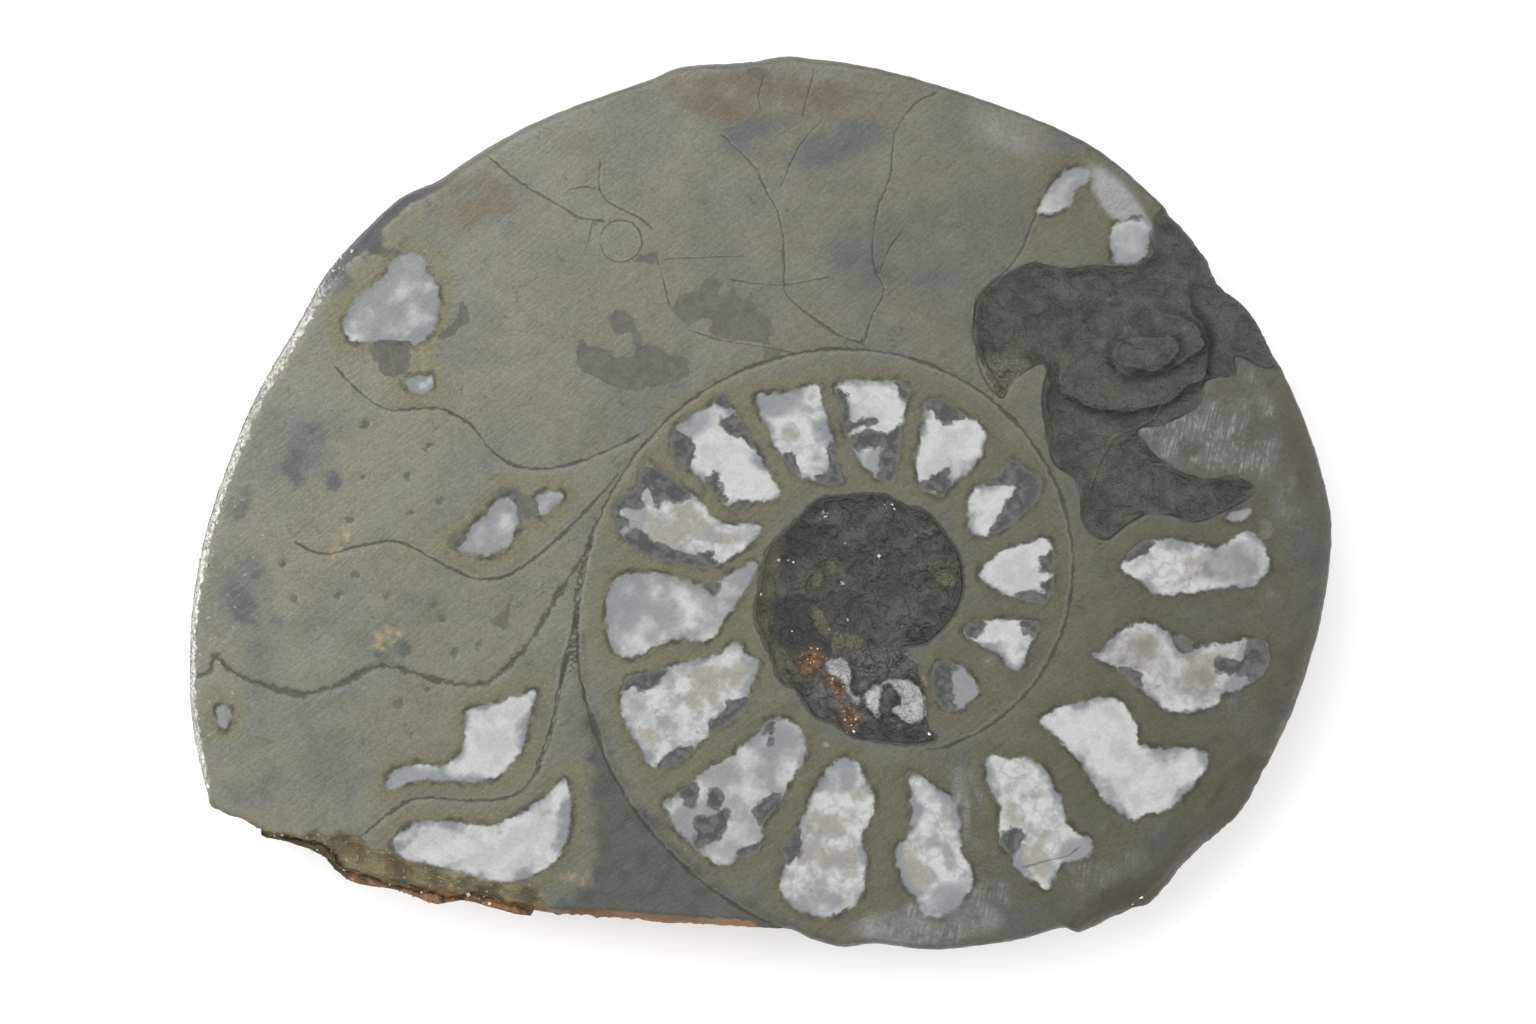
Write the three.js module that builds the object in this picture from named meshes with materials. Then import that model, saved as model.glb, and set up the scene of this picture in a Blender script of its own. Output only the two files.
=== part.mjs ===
// An ammonite turned to pyrite and calcite, sawn in half through its coil and polished.
// It is one piece of stone. It lies on its ribbed natural flank, with the polished face up and level.
// Millimetres, +Z up. The origin is on the surface that it lies on, under the middle of its outline.
import * as THREE from "three";

// Overall sizes
const THICKNESS = 16; // from the resting plane to the polished face
const FACE_Z = THICKNESS;

// The coil, a logarithmic spiral seen from above, which grows anticlockwise
const COIL_CENTRE = new THREE.Vector2(11.4, -8.9);
const GROWTH_PER_TURN = 2.257;
const OUTER_RADIUS = 44.4; // of the last whorl, where it crosses the +X direction
const MOUTH_ANGLE = 256; // degrees, where the broken last whorl gives way to the one before it
const MOUTH_FADE = 7; // degrees over which the broken end slopes down to the older whorl
const BREAK_START = 198; // degrees, where the break leaves the outer edge of the shell
const BREAK_FADE = { start: 4, end: 2 }; // degrees over which the break opens and closes
const BREAK_SLOPE = 5; // millimetres down for each millimetre in from the rim, on the broken end
const BREAK_LUMPS = { perTurn: 26, share: 0.4 }; // how that slope wavers along the break

// A whorl's flank, from its inner seam at 0 to its outer edge at 1
const SEAM_SHARE = 0.33; // the seam's radius, as a share of the outer edge's
const CREST = 0.4; // where the flank is furthest from the sawn face
const INNER_ROUNDING = 2.6;
const OUTER_ROUNDING = 2.4;
const CREST_DEPTH = 15.7; // below the face, where the outer edge is at REFERENCE_RADIUS
const REFERENCE_RADIUS = 54;
const WIDTH_GROWTH = 0.35; // how fast the last whorl widens as its radius grows
const SAW_TILT = new THREE.Vector2(0.031, 0.012); // the saw missed the true middle plane by this slope
const INNER_WHORLS = 4; // that can be told apart inside the last one
const FILL = { depth: 5.5, radius: 9, fade: 1.5 }; // the matrix that fills the middle of the umbilicus

// The ribs of the flank
const RIBS_PER_TURN = 30;
const RIB_HEIGHT = 0.55;
const RIB_FADE = 1.5; // how fast a rib dies away towards the seam and the outer edge
const RIB_SWEEP = 4; // degrees that a rib swings each way on its path across the flank

// The edge of the stone seen from above, anticlockwise from the right
const RIM = [
  // the outer edge of the shell, over the top and down the left side
  [57.3, -1.7], [56.5, 2.3], [54.7, 8.1], [51.4, 15.1], [48.7, 19.6], [46.2, 21.8], [44.6, 24.9],
  [40.0, 30.2], [33.6, 35.6], [27.0, 38.8], [17.1, 42.2], [10.4, 43.9], [5.5, 44.65], [2.5, 44.9],
  [-1.5, 44.3], [-8.1, 43.8], [-11.1, 42.6], [-22.9, 38.2], [-29.9, 34.2], [-32.4, 32.5], [-36.1, 30.8],
  [-39.9, 27.4], [-43.5, 23.4], [-46.7, 17.8], [-50.7, 10.8], [-53.3, 4.7], [-55.7, -2.6], [-57.1, -10.1],
  [-57.35, -15.7], [-57.25, -20.9], [-56.5, -25.4], [-55.6, -29.2],
  // the broken mouth, from the lower left corner to the older whorl
  [-55.2, -30.6], [-52.2, -32.0], [-50.2, -33.4], [-47.7, -33.9], [-44.0, -35.3], [-42.6, -36.9],
  [-40.8, -38.0], [-36.4, -38.9], [-32.6, -40.1], [-29.6, -39.9], [-24.1, -41.3], [-14.7, -41.9],
  [-4.4, -42.6], [3.1, -42.9],
  // the edge of the older whorl, and the chipped lower right
  [4.9, -43.8], [8.1, -44.6], [11.3, -44.3], [17.4, -44.9], [26.3, -43.8], [30.6, -42.7], [31.7, -43.2],
  [35.9, -41.6], [39.7, -39.9], [43.3, -35.7], [47.9, -31.7], [50.1, -28.0], [54.1, -19.1], [56.7, -9.3],
];

// How far the polished face stops short of that edge, by angle in degrees about the coil's centre
const BEVEL = [
  [0, 0.9], [35, 0.6], [60, 0.5], [90, 0.5], [100, 0.9], [120, 0.6], [135, 1.3], [148, 1.7], [158, 1.3],
  [170, 1.2], [185, 0.9], [197, 0.9], [210, 1.5], [235, 1.3], [256, 0.8], [290, 0.7], [320, 1.8], [345, 0.8],
];
const BEVEL_SLOPE = 1.1; // drop per millimetre of bevel

// The mesh: sectors round the coil's centre, and rings from the face's middle round to the umbilicus
const SECTORS = RIBS_PER_TURN * 5;
const FACE_RINGS = [0, 0.5, 1]; // shares of the polished face's radius
const FLANK_RINGS = [
  1, 0.995, 0.98, 0.95, 0.9, 0.83, 0.74, 0.63, 0.52, 0.42, 0.32, 0.23, 0.15, 0.09, 0.045, 0.015,
];
const UMBILICUS_RINGS = [0.96, 0.86, 0.74, 0.62, 0.53, 0.47, 0.43, 0.34, 0.23, 0.12, 0];
const RING_STEP = 34; // degrees past the broken end over which the rings close in on the older whorl
const RIM_SAMPLES = 1440;

const { degToRad, euclideanModulo, lerp, smoothstep } = THREE.MathUtils;

// The value at an angle of a closed table of [angle, value] rows, in degrees
function aroundTable(table, angle) {
  const turned = euclideanModulo(angle - table[0][0], 360) + table[0][0];
  const next = table.findIndex(([at]) => at > turned);
  const after = next < 0 ? [table[0][0] + 360, table[0][1]] : table[next];
  const before = next < 0 ? table[table.length - 1] : table[next - 1];
  return lerp(before[1], after[1], (turned - before[0]) / (after[0] - before[0]));
}

// The rim's radius about the coil's centre, as a table of [angle, radius] rows
function rimTable() {
  const corners = RIM.map(([x, y]) => new THREE.Vector3(x, y, 0));
  const curve = new THREE.CatmullRomCurve3(corners, true, "centripetal");
  const rows = curve.getPoints(RIM_SAMPLES).map((p) => {
    const away = new THREE.Vector2(p.x, p.y).sub(COIL_CENTRE);
    return [euclideanModulo(THREE.MathUtils.radToDeg(away.angle()), 360), away.length()];
  });
  return rows.sort((one, other) => one[0] - other[0]);
}

const RIM_RADIUS = rimTable();

// The spiral's radius at a coil angle in degrees, which is below 0 on the inner whorls
function spiralRadius(coilAngle) {
  return OUTER_RADIUS * GROWTH_PER_TURN ** (coilAngle / 360);
}

// The coil angle of the last whorl in a direction from the centre
function lastWhorl(angle) {
  const turned = euclideanModulo(angle, 360);
  return turned < MOUTH_ANGLE ? turned : turned - 360;
}

// How far below the face a whorl's flank reaches at its crest
function crestDepth(coilAngle) {
  const first = MOUTH_ANGLE - 360; // the last whorl begins here, and older ones keep their true proportions
  const own = Math.max(coilAngle, first);
  const depth = CREST_DEPTH * (spiralRadius(own) / REFERENCE_RADIUS) ** WIDTH_GROWTH;
  return depth * (spiralRadius(coilAngle) / spiralRadius(own));
}

// The rounded section of a flank: 0 at its seam and its outer edge, 1 at its crest
function flankShape(across) {
  const t = THREE.MathUtils.clamp(across, 0, 1);
  const [away, power] =
    t < CREST ? [(CREST - t) / CREST, INNER_ROUNDING] : [(t - CREST) / (1 - CREST), OUTER_ROUNDING];
  return (1 - away ** power) ** (1 / power);
}

// How far a rib swings forward at its place across the flank, in degrees
function ribSweep(across) {
  return RIB_SWEEP * Math.sin(2 * Math.PI * THREE.MathUtils.clamp(across, 0, 1));
}

// The height of the ribs on a whorl whose outer edge has that radius
function ribs(across, angle, edgeRadius) {
  const fade = Math.sin(Math.PI * THREE.MathUtils.clamp(across, 0, 1)) ** RIB_FADE;
  const phase = degToRad((angle - ribSweep(across)) * RIBS_PER_TURN);
  return RIB_HEIGHT * (edgeRadius / REFERENCE_RADIUS) * fade * Math.cos(phase);
}

// The depth below the face of one whorl's flank
function whorlDepth(radius, angle, coilAngle, edgeRadius, edgeDepth) {
  const seam = SEAM_SHARE * spiralRadius(coilAngle);
  const across = (radius - seam) / (edgeRadius - seam);
  if (across <= 0) return 0;
  const shape = flankShape(across);
  const tilt = (SAW_TILT.x * Math.cos(degToRad(angle)) + SAW_TILT.y * Math.sin(degToRad(angle))) * radius;
  const crest = crestDepth(coilAngle) + tilt;
  return edgeDepth + (crest - edgeDepth) * shape + ribs(across, angle, edgeRadius);
}

// How steeply the broken end falls away from the rim
function breakSlope(angle) {
  return BREAK_SLOPE * (1 + BREAK_LUMPS.share * Math.sin(degToRad(angle * BREAK_LUMPS.perTurn)));
}

// The depth of the natural back below the face, at a radius and an angle about the coil's centre
function backDepth(radius, angle, rim, edgeDepth) {
  const coilAngle = lastWhorl(angle);
  const broken =
    smoothstep(coilAngle, BREAK_START, BREAK_START + BREAK_FADE.start) *
    (1 - smoothstep(coilAngle, MOUTH_ANGLE - BREAK_FADE.end, MOUTH_ANGLE));
  const edge = lerp(rim, Math.max(rim, spiralRadius(coilAngle)), broken);
  let depth = whorlDepth(radius, angle, coilAngle, edge, edgeDepth);
  let older = FILL.depth * (1 - smoothstep(radius, FILL.radius, FILL.radius + FILL.fade));
  for (let turns = 1; turns <= INNER_WHORLS; turns += 1) {
    const inner = coilAngle - 360 * turns;
    older = Math.max(older, whorlDepth(radius, angle, inner, spiralRadius(inner), 0));
  }
  const wall = edgeDepth + (rim - radius) * breakSlope(angle);
  depth = lerp(depth, Math.min(depth, wall), broken);
  depth *= 1 - smoothstep(coilAngle, MOUTH_ANGLE - MOUTH_FADE, MOUTH_ANGLE);
  return Math.min(THICKNESS, Math.max(depth, older, edgeDepth));
}

// The radius of the seam that the mesh's rings close in on. It steps down just past the broken end.
function ringSeam(angle) {
  const coilAngle = lastWhorl(angle);
  const start = MOUTH_ANGLE - 360;
  const stepDown = smoothstep(coilAngle, start, start + RING_STEP);
  return SEAM_SHARE * lerp(spiralRadius(coilAngle + 360), spiralRadius(coilAngle), stepDown);
}

// A point of the surface: ring 0 is the middle of the face, the last ring the bottom of the umbilicus
function surfacePoint(sector, ring) {
  const direction = (sector * 360) / SECTORS;
  const rim = aroundTable(RIM_RADIUS, direction);
  const bevel = aroundTable(BEVEL, direction);
  const edgeDepth = bevel * BEVEL_SLOPE;
  if (ring < FACE_RINGS.length) return polar((rim - bevel) * FACE_RINGS[ring], direction, FACE_Z);

  const flankRing = ring - FACE_RINGS.length;
  if (flankRing === 0) return polar(rim, direction, FACE_Z - edgeDepth);
  const seam = ringSeam(direction);
  const inFlank = flankRing < FLANK_RINGS.length;
  const across = inFlank ? FLANK_RINGS[flankRing] : 0;
  const inside = inFlank ? 1 : UMBILICUS_RINGS[flankRing - FLANK_RINGS.length];
  const radius = (seam + across * (rim - seam)) * inside;
  const angle = direction + ribSweep(across);
  const ownRim = aroundTable(RIM_RADIUS, angle);
  return polar(radius, angle, FACE_Z - backDepth(radius, angle, ownRim, edgeDepth));
}

// A point in the part's frame, from polar coordinates about the coil's centre
function polar(radius, angle, height) {
  const turn = degToRad(angle);
  const flat = new THREE.Vector2(Math.cos(turn), Math.sin(turn)).multiplyScalar(radius).add(COIL_CENTRE);
  return new THREE.Vector3(flat.x, flat.y, height);
}

// A sphere's closed grid of rings and sectors, moved onto the stone's surface
function fossilGeometry() {
  const rings = FACE_RINGS.length + FLANK_RINGS.length + UMBILICUS_RINGS.length - 1;
  const geometry = new THREE.SphereGeometry(1, SECTORS, rings);
  const position = geometry.getAttribute("position");
  for (let ring = 0; ring <= rings; ring += 1) {
    for (let column = 0; column <= SECTORS; column += 1) {
      const point = surfacePoint(column % SECTORS, ring);
      position.setXYZ(ring * (SECTORS + 1) + column, point.x, point.y, point.z);
    }
  }
  geometry.computeVertexNormals();
  return geometry;
}

// Polished pyrite, which is an olive brass in colour
const pyrite = new THREE.MeshStandardMaterial({ color: 0x6f6c58, roughness: 0.45, metalness: 0.4 });

const fossil = new THREE.Mesh(fossilGeometry(), pyrite);
fossil.name = "ammonite_fossil";

const stone = new THREE.Group();
stone.add(fossil);

export default stone;
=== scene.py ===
"""An ammonite turned to pyrite and calcite, sawn through its coil, polished, and lying on its ribbed back.

It is laid out as an add-on. Each piece has an operator, and its sizes and colours are properties in the
sidebar. Points and widths in the lists are millimetres in the frame of the part. Angles are in degrees.
"""
import math

import bpy
import numpy as np
from bpy.props import FloatProperty, FloatVectorProperty, IntProperty, PointerProperty
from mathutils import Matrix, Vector


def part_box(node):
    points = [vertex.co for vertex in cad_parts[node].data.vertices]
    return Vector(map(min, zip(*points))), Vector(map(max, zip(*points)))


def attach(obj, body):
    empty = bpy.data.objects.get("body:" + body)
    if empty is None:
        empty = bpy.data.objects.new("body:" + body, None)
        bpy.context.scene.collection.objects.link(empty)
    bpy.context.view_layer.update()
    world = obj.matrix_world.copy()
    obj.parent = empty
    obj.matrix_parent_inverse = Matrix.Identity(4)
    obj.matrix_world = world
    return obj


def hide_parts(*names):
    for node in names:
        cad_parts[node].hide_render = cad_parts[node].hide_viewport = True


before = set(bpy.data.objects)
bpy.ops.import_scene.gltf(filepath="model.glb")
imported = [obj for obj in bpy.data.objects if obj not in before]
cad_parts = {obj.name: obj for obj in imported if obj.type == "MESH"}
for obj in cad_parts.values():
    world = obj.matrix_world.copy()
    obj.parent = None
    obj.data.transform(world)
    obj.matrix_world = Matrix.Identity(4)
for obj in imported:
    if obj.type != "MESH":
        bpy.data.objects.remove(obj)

bl_info = {
    "name": "Ammonite fossil",
    "version": (1, 0, 0),
    "blender": (4, 5, 0),
    "location": "View3D > Sidebar > Ammonite",
    "description": "A sawn and polished pyrite ammonite with calcite in its chambers",
    "category": "Object",
}

MM = 0.001  # in metres
LOWEST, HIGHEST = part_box("ammonite_fossil")
THICKNESS = (HIGHEST[2] - LOWEST[2]) / MM

# The coil, a logarithmic spiral that grows anticlockwise
COIL_CENTRE = np.array([11.4, -8.9])
GROWTH_PER_TURN = 2.257
OUTER_RADIUS = 44.4  # of the last whorl, in the +X direction
MOUTH_ANGLE = 256  # where the broken last whorl gives way to the one before it
MOUTH_FADE = 7
BREAK_START = 198  # where the break leaves the outer edge of the shell
BREAK_FADE = (4, 2)
BREAK_SLOPE = 5
BREAK_LUMPS = (26, 0.4)  # for each turn, and their share of the slope
SEAM_TURN = (-430, -104)  # the coil angles between which the last inner whorl's seam shows on the face

# A whorl's flank, from its inner seam at 0 to its outer edge at 1
SEAM_SHARE = 0.33
CREST = 0.4
INNER_ROUNDING = 2.6
OUTER_ROUNDING = 2.4
CREST_DEPTH = 15.7
REFERENCE_RADIUS = 54
WIDTH_GROWTH = 0.35
SAW_TILT = np.array([0.031, 0.012])
INNER_WHORLS = 4
FILL_DEPTH, FILL_RADIUS, FILL_FADE = 5.5, 9, 1.5
RIB_FADE = 1.5

# The edge of the stone seen from above, anticlockwise from the right
RIM = [
    (57.3, -1.7), (56.5, 2.3), (54.7, 8.1), (51.4, 15.1), (48.7, 19.6), (46.2, 21.8), (44.6, 24.9),
    (40.0, 30.2), (33.6, 35.6), (27.0, 38.8), (17.1, 42.2), (10.4, 43.9), (5.5, 44.65), (2.5, 44.9),
    (-1.5, 44.3), (-8.1, 43.8), (-11.1, 42.6), (-22.9, 38.2), (-29.9, 34.2), (-32.4, 32.5), (-36.1, 30.8),
    (-39.9, 27.4), (-43.5, 23.4), (-46.7, 17.8), (-50.7, 10.8), (-53.3, 4.7), (-55.7, -2.6), (-57.1, -10.1),
    (-57.35, -15.7), (-57.25, -20.9), (-56.5, -25.4), (-55.6, -29.2), (-55.2, -30.6), (-52.2, -32.0),
    (-50.2, -33.4), (-47.7, -33.9), (-44.0, -35.3), (-42.6, -36.9), (-40.8, -38.0), (-36.4, -38.9),
    (-32.6, -40.1), (-29.6, -39.9), (-24.1, -41.3), (-14.7, -41.9), (-4.4, -42.6), (3.1, -42.9),
    (4.9, -43.8), (8.1, -44.6), (11.3, -44.3), (17.4, -44.9), (26.3, -43.8), (30.6, -42.7), (31.7, -43.2),
    (35.9, -41.6), (39.7, -39.9), (43.3, -35.7), (47.9, -31.7), (50.1, -28.0), (54.1, -19.1), (56.7, -9.3),
]
RIM_INSET = 0.12  # keeps the crystals of the rim inside the stone's true edge

# How far the polished face stops short of that edge, by angle about the coil's centre
BEVEL = [
    (0, 0.9), (35, 0.6), (60, 0.5), (90, 0.5), (100, 0.9), (120, 0.6), (135, 1.3), (148, 1.7),
    (158, 1.3), (170, 1.2), (185, 0.9), (197, 0.9), (210, 1.5), (235, 1.3), (256, 0.8), (290, 0.7),
    (320, 1.8), (345, 0.8),
]
BEVEL_SLOPE = 1.1
BEVEL_ROUNDING = 1.6

# The mesh of the stone
FACE_CELLS = 244  # along each side of the square grid that is bent into the polished face
BEVEL_RINGS = 4
WALL_RINGS = 12
WALL_INSET = 2.6  # how far in from the rim the rings of the wall reach
WALL_CROWDING = 2.2
FAR = 3.0  # the furthest distance that a field of the surface holds
LINE_FAR = 8.0  # the same for the lines, in half widths
STAIN_FADE = (0.45, 1.25)  # the shares of an ellipse's size between which its strength fades

# Calcite in the chambers, as outlines on the polished face in millimetres, by its tone
CALCITE = {
    "white": [
        [(-29.3, -20.8), (-27.9, -20.2), (-25.8, -19.8), (-23.8, -19.1), (-22.5, -18.8), (-23, -20.6),
         (-23.4, -22.5), (-23.8, -24.3), (-25, -25.9), (-26.2, -27.2), (-28.3, -27.8), (-31.1, -27.7),
         (-34.4, -27.7), (-36, -28.2), (-37.4, -28.8), (-37, -27), (-35.6, -26.4), (-34, -26.1),
         (-31.9, -26.4), (-30.5, -25.5), (-29.7, -24.3), (-29.5, -22.5)],
        [(-36.8, -34.1), (-36, -32.9), (-34.6, -32.1), (-32.3, -31.8), (-29.9, -32.1), (-27.4, -32.3),
         (-25.4, -31.7), (-23.4, -30.6), (-21.5, -29.4), (-20.1, -28), (-19.5, -27.8), (-19.1, -29.6),
         (-19.1, -31.7), (-19.5, -33.7), (-20.3, -35.3), (-21.7, -36.6), (-23.8, -37.6), (-26, -37.9),
         (-27.9, -37.7), (-29.5, -37), (-33, -36.1), (-35.4, -35.7), (-36.4, -34.9)],
        [(-35.5, 12.4), (-32.9, 12.6), (-32.9, 11.6), (-34, 11), (-35.5, 11.6)],
        [(34.9, 26.2), (35.3, 27.8), (36.7, 28.1), (39, 28.1), (39.2, 27.5), (38.7, 26.2), (38.5, 24.8),
         (37.6, 24.1), (35.7, 23.9), (35.1, 24.8)],
        [(27.7, 29.1), (28.2, 30.5), (29.3, 32.1), (30.7, 33.3), (32.1, 33.5), (32.9, 32.8), (32.5, 31.9),
         (31.4, 31.4), (31.2, 30.3), (30.5, 29.4), (29.3, 29.1)],
        [(20.2, -12.8), (21.5, -11.8), (23.2, -11.7), (25.4, -11.7), (27.6, -12.1), (27.4, -13.2),
         (26.7, -14.5), (26.3, -16), (25.6, -16.8), (24.8, -16.4), (23.7, -15), (21.9, -14.1)],
        [(21.8, -7.2), (22.7, -5.9), (24.3, -4.7), (26.2, -4.2), (28.5, -3.6), (29.1, -4.4), (29.2, -6.3),
         (29.1, -8.6), (28.5, -9.9), (27.3, -9.7), (25, -9.3), (23.1, -8.4)],
        [(21.2, 1.2), (22.7, 2.1), (23.9, 2.9), (25.2, 4.2), (26.2, 3.3), (27.8, 2.3), (27.5, 0.6),
         (26.2, -0.9), (24.6, -2.3), (23.1, -3), (21.6, -3.3), (20.9, -2.8), (20.7, -1.7), (20.8, -0.2)],
        [(16.6, 10), (17.4, 10.3), (18.5, 10), (20.1, 8.8), (21.2, 8.3), (22.5, 6.9), (22.2, 5.6),
         (21.6, 4.1), (20.4, 2.9), (18.9, 1.8), (18.1, 0.8), (17.6, 0.8), (16.2, 1.6), (15.7, 2.9),
         (15.5, 4.1), (16, 6.4), (16.3, 8.6)],
        [(7.6, 11.7), (9, 12.2), (11.6, 12.1), (14.9, 12.2), (14.7, 10.6), (14.1, 8.1), (13.7, 6.7),
         (13.6, 4.4), (13, 2.1), (12.4, 2.2), (10.9, 3.1), (9.7, 4.4), (9, 6), (8.4, 7.5), (8, 9.4)],
        [(-3.8, 10.8), (-2.9, 9.4), (-1.7, 7.5), (-0.8, 5.6), (0.6, 3.3), (1.9, 0.8), (0.8, 0.2), (-1, 0),
         (-2.3, -0.7), (-3.5, -0.2), (-5.6, 2.1), (-6.9, 3.3), (-8.2, 4.1), (-8.8, 5.6), (-8.6, 7.5),
         (-7.9, 8.1), (-5.2, 9.6)],
        [(27.9, -21.9), (29.9, -20.4), (32.6, -19.7), (34.8, -19.4), (36.6, -20.5), (37.5, -22.2),
         (37.8, -24.2), (40, -24.6), (43.4, -24.5), (44.6, -25.3), (44.3, -26.8), (42.4, -29.2),
         (40.3, -30.8), (38.5, -30.9), (37.2, -31.8), (35.7, -30.8), (34.2, -29.5), (32.9, -27.4),
         (31.4, -25.3), (29.6, -23.4)],
    ],
    "cream": [
        [(-11.4, 4.1), (-10.2, 3.1), (-8.6, 2), (-5.9, 0), (-5, -1.1), (-3.5, -2.1), (0, -2.4),
         (-0.2, -3.2), (-1.9, -4.6), (-3.5, -5.7), (-5.9, -6.4), (-8.2, -5.9), (-10.5, -5.3), (-12.3, -4.7),
         (-13.6, -3.6), (-14.4, -2.5), (-14.6, -0.9), (-14.6, 0), (-12.4, 1.2), (-11.9, 2.5)],
        [(-0.4, 10.8), (0.9, 10.8), (3.8, 11.3), (5.6, 11.9), (6.1, 10), (6.7, 7.9), (7.3, 5.6), (7.6, 3.3),
         (7.9, 2.1), (5.5, 2.3), (3.6, 2.9), (2.7, 4.1), (1.5, 5.6), (0.8, 7.3), (0, 9)],
        [(-13.4, -17.9), (-12.8, -17.4), (-10.5, -17), (-8.6, -16.2), (-6.7, -15.6), (-3.8, -15.1),
         (-3.3, -14.3), (-2.1, -14.1), (-1.4, -15.2), (-0.2, -15.8), (-1, -18.3), (-1.4, -20),
         (-2.9, -21.6), (-4.8, -22.7), (-6.3, -24.2), (-7.9, -25.6), (-9.4, -26.3), (-10.7, -26.5),
         (-11.5, -25.6), (-12.4, -23.9), (-13.6, -21.9), (-14, -20.4), (-13.8, -18.9)],
        [(7.2, -26), (8.5, -25.4), (9.6, -26), (10.3, -27.5), (11.3, -29.2), (11.1, -31.2), (10.3, -32.6),
         (10.1, -34), (10.5, -35.5), (10.3, -37.7), (9.8, -39.7), (8.1, -40.8), (6.6, -41.4), (4.2, -40.9),
         (2.8, -40.1), (1.9, -38.2), (2.3, -36.3), (2.8, -35.4), (2.2, -34.7), (3.5, -32.8), (4.7, -30.3),
         (6.1, -27.6)],
        [(14.7, -27.1), (16.1, -27.5), (17.6, -28.6), (19.1, -29.7), (19.8, -31.2), (20, -34.7),
         (20.9, -36.6), (21.3, -37.7), (20.6, -39.2), (18.9, -40.8), (17.6, -41.4), (16.1, -41),
         (15.7, -39.7), (14.6, -38.4), (13.5, -35.6), (13.7, -34.5), (15.2, -32.3), (14.8, -31.9),
         (15.2, -30.6), (14.9, -29.7), (15.1, -28.6)],
        [(22.5, -25.6), (23.2, -25.1), (24.3, -25.6), (26.5, -25.5), (28.2, -26.4), (29.3, -28.4),
         (30, -29.7), (30.4, -31.6), (31.5, -33), (33, -33.8), (33.2, -34.9), (31.9, -35.6), (30, -36),
         (29.5, -37.3), (28.5, -38.6), (27.4, -37.9), (25.6, -36.6), (25, -35.1), (24.1, -34.3),
         (23.8, -32.5), (23.9, -30.1), (22.8, -28.6), (22.6, -26.9)],
        [(33.1, -15.2), (34.2, -14.8), (34.9, -13.8), (36.9, -12.3), (38.1, -12), (39.4, -12.3),
         (40.6, -12.9), (41.5, -13.8), (42.2, -14.7), (43.8, -14.5), (45.6, -14.1), (47, -14.1),
         (48.5, -13.6), (49.4, -13.8), (50.4, -14.1), (50.6, -15.7), (49.7, -17.3), (48.6, -18.1),
         (47.4, -18.8), (46.3, -19.1), (45.4, -20.2), (43.8, -20.7), (41.7, -20.9), (40.3, -20.6),
         (39.4, -19.7), (37.6, -18.1), (37, -17.2), (35.8, -16.6), (34.5, -15.9)],
        [(36.1, -6.6), (36.7, -5.4), (37.8, -4.5), (39.2, -3.8), (41, -3.7), (42.8, -4), (44.2, -4.3),
         (45.6, -4.5), (46.7, -4), (47.8, -3.1), (49.2, -2.9), (50.1, -3.6), (50.6, -5), (50.8, -6.6),
         (49.9, -7.7), (48.8, -8.4), (47, -8.2), (45.6, -8.6), (43.8, -8.8), (40.6, -9.1), (39.5, -9.1),
         (38.6, -8.4), (38.1, -7.7), (37, -7.3)],
        [(46.5, -1.3), (47.8, -0.7), (48.6, -0.4), (49, -0.9), (48.3, -1.6), (47.2, -1.8)],
    ],
    "plug": [
        [(6.7, -15.6), (7.6, -15.5), (8.7, -15.8), (9.2, -17.5), (9, -18.7), (9.9, -19.6), (9.9, -20.4),
         (8.7, -19.3), (7.9, -17.8), (6.7, -16.9)],
        [(10.5, -18.7), (11.4, -18.1), (12.2, -18.4), (11.9, -19.9), (11.9, -21.6), (11.1, -21),
         (10.3, -19.9)],
        [(12.4, -17.8), (13.4, -17.5), (14.9, -17.8), (16.3, -19.3), (16.5, -21), (15.7, -22.1),
         (14, -21.6), (13.1, -20.7), (14, -19.9), (13.4, -18.7)],
    ],
    "grey": [
        [(-34.7, 25), (-33.6, 24.4), (-33.4, 23), (-32.3, 21.5), (-32.5, 18.7), (-32.7, 17.4),
         (-34.5, 15.9), (-36, 15.7), (-39.2, 16.1), (-41, 16.3), (-41.7, 17.6), (-41.4, 18.9),
         (-40.1, 20.9), (-38.6, 21.9), (-37.5, 22.8), (-36.9, 24.1)],
        [(-31, -4), (-29.8, -3.4), (-28.9, -2.3), (-27.5, -1.2), (-25.8, 1.1), (-24.7, 1.2), (-24.3, -0.1),
         (-24.3, -2), (-25, -3.7), (-26.1, -4.8), (-27.8, -5.2), (-29.8, -4.8)],
        [(-22.6, 0.2), (-21.9, 0.9), (-20.2, 1.1), (-19.8, 0.5), (-20.8, -0.3), (-21.6, -1.2), (-22.5, -0.9)],
        [(-54.2, -20.2), (-53.4, -20.4), (-53.1, -21.4), (-53.6, -22.6), (-54, -22.4), (-54.4, -21.2)],
        [(17.2, -18.2), (17.2, -17.1), (17.8, -16), (19.3, -16.1), (20.6, -16.9), (21.7, -18.6),
         (21.1, -19.7), (19.8, -20.5), (18.7, -20.6), (17.8, -19.7)],
        [(-14.7, -7.8), (-13.8, -7.2), (-11.1, -7), (-8.6, -7.4), (-5.9, -8.2), (-4.2, -7.8), (-2.1, -6.5),
         (-0.6, -5.9), (-0.6, -6.7), (-1.7, -8.8), (-2.9, -10.5), (-3.5, -11.2), (-4.8, -13.3),
         (-5.9, -13.9), (-7.9, -13.5), (-10.9, -14.3), (-11.9, -15.1), (-13.8, -15.4), (-14.9, -14.5),
         (-15.3, -13.1), (-15.4, -9.7)],
        [(1.1, -21.6), (2.9, -21.9), (4.2, -23.1), (4.6, -24.6), (4, -26.2), (2.9, -27.7), (1.7, -30),
         (0.2, -31.9), (0, -33.6), (-0.4, -34.6), (-1.7, -35.1), (-3.6, -36.3), (-4.8, -35.9),
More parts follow.
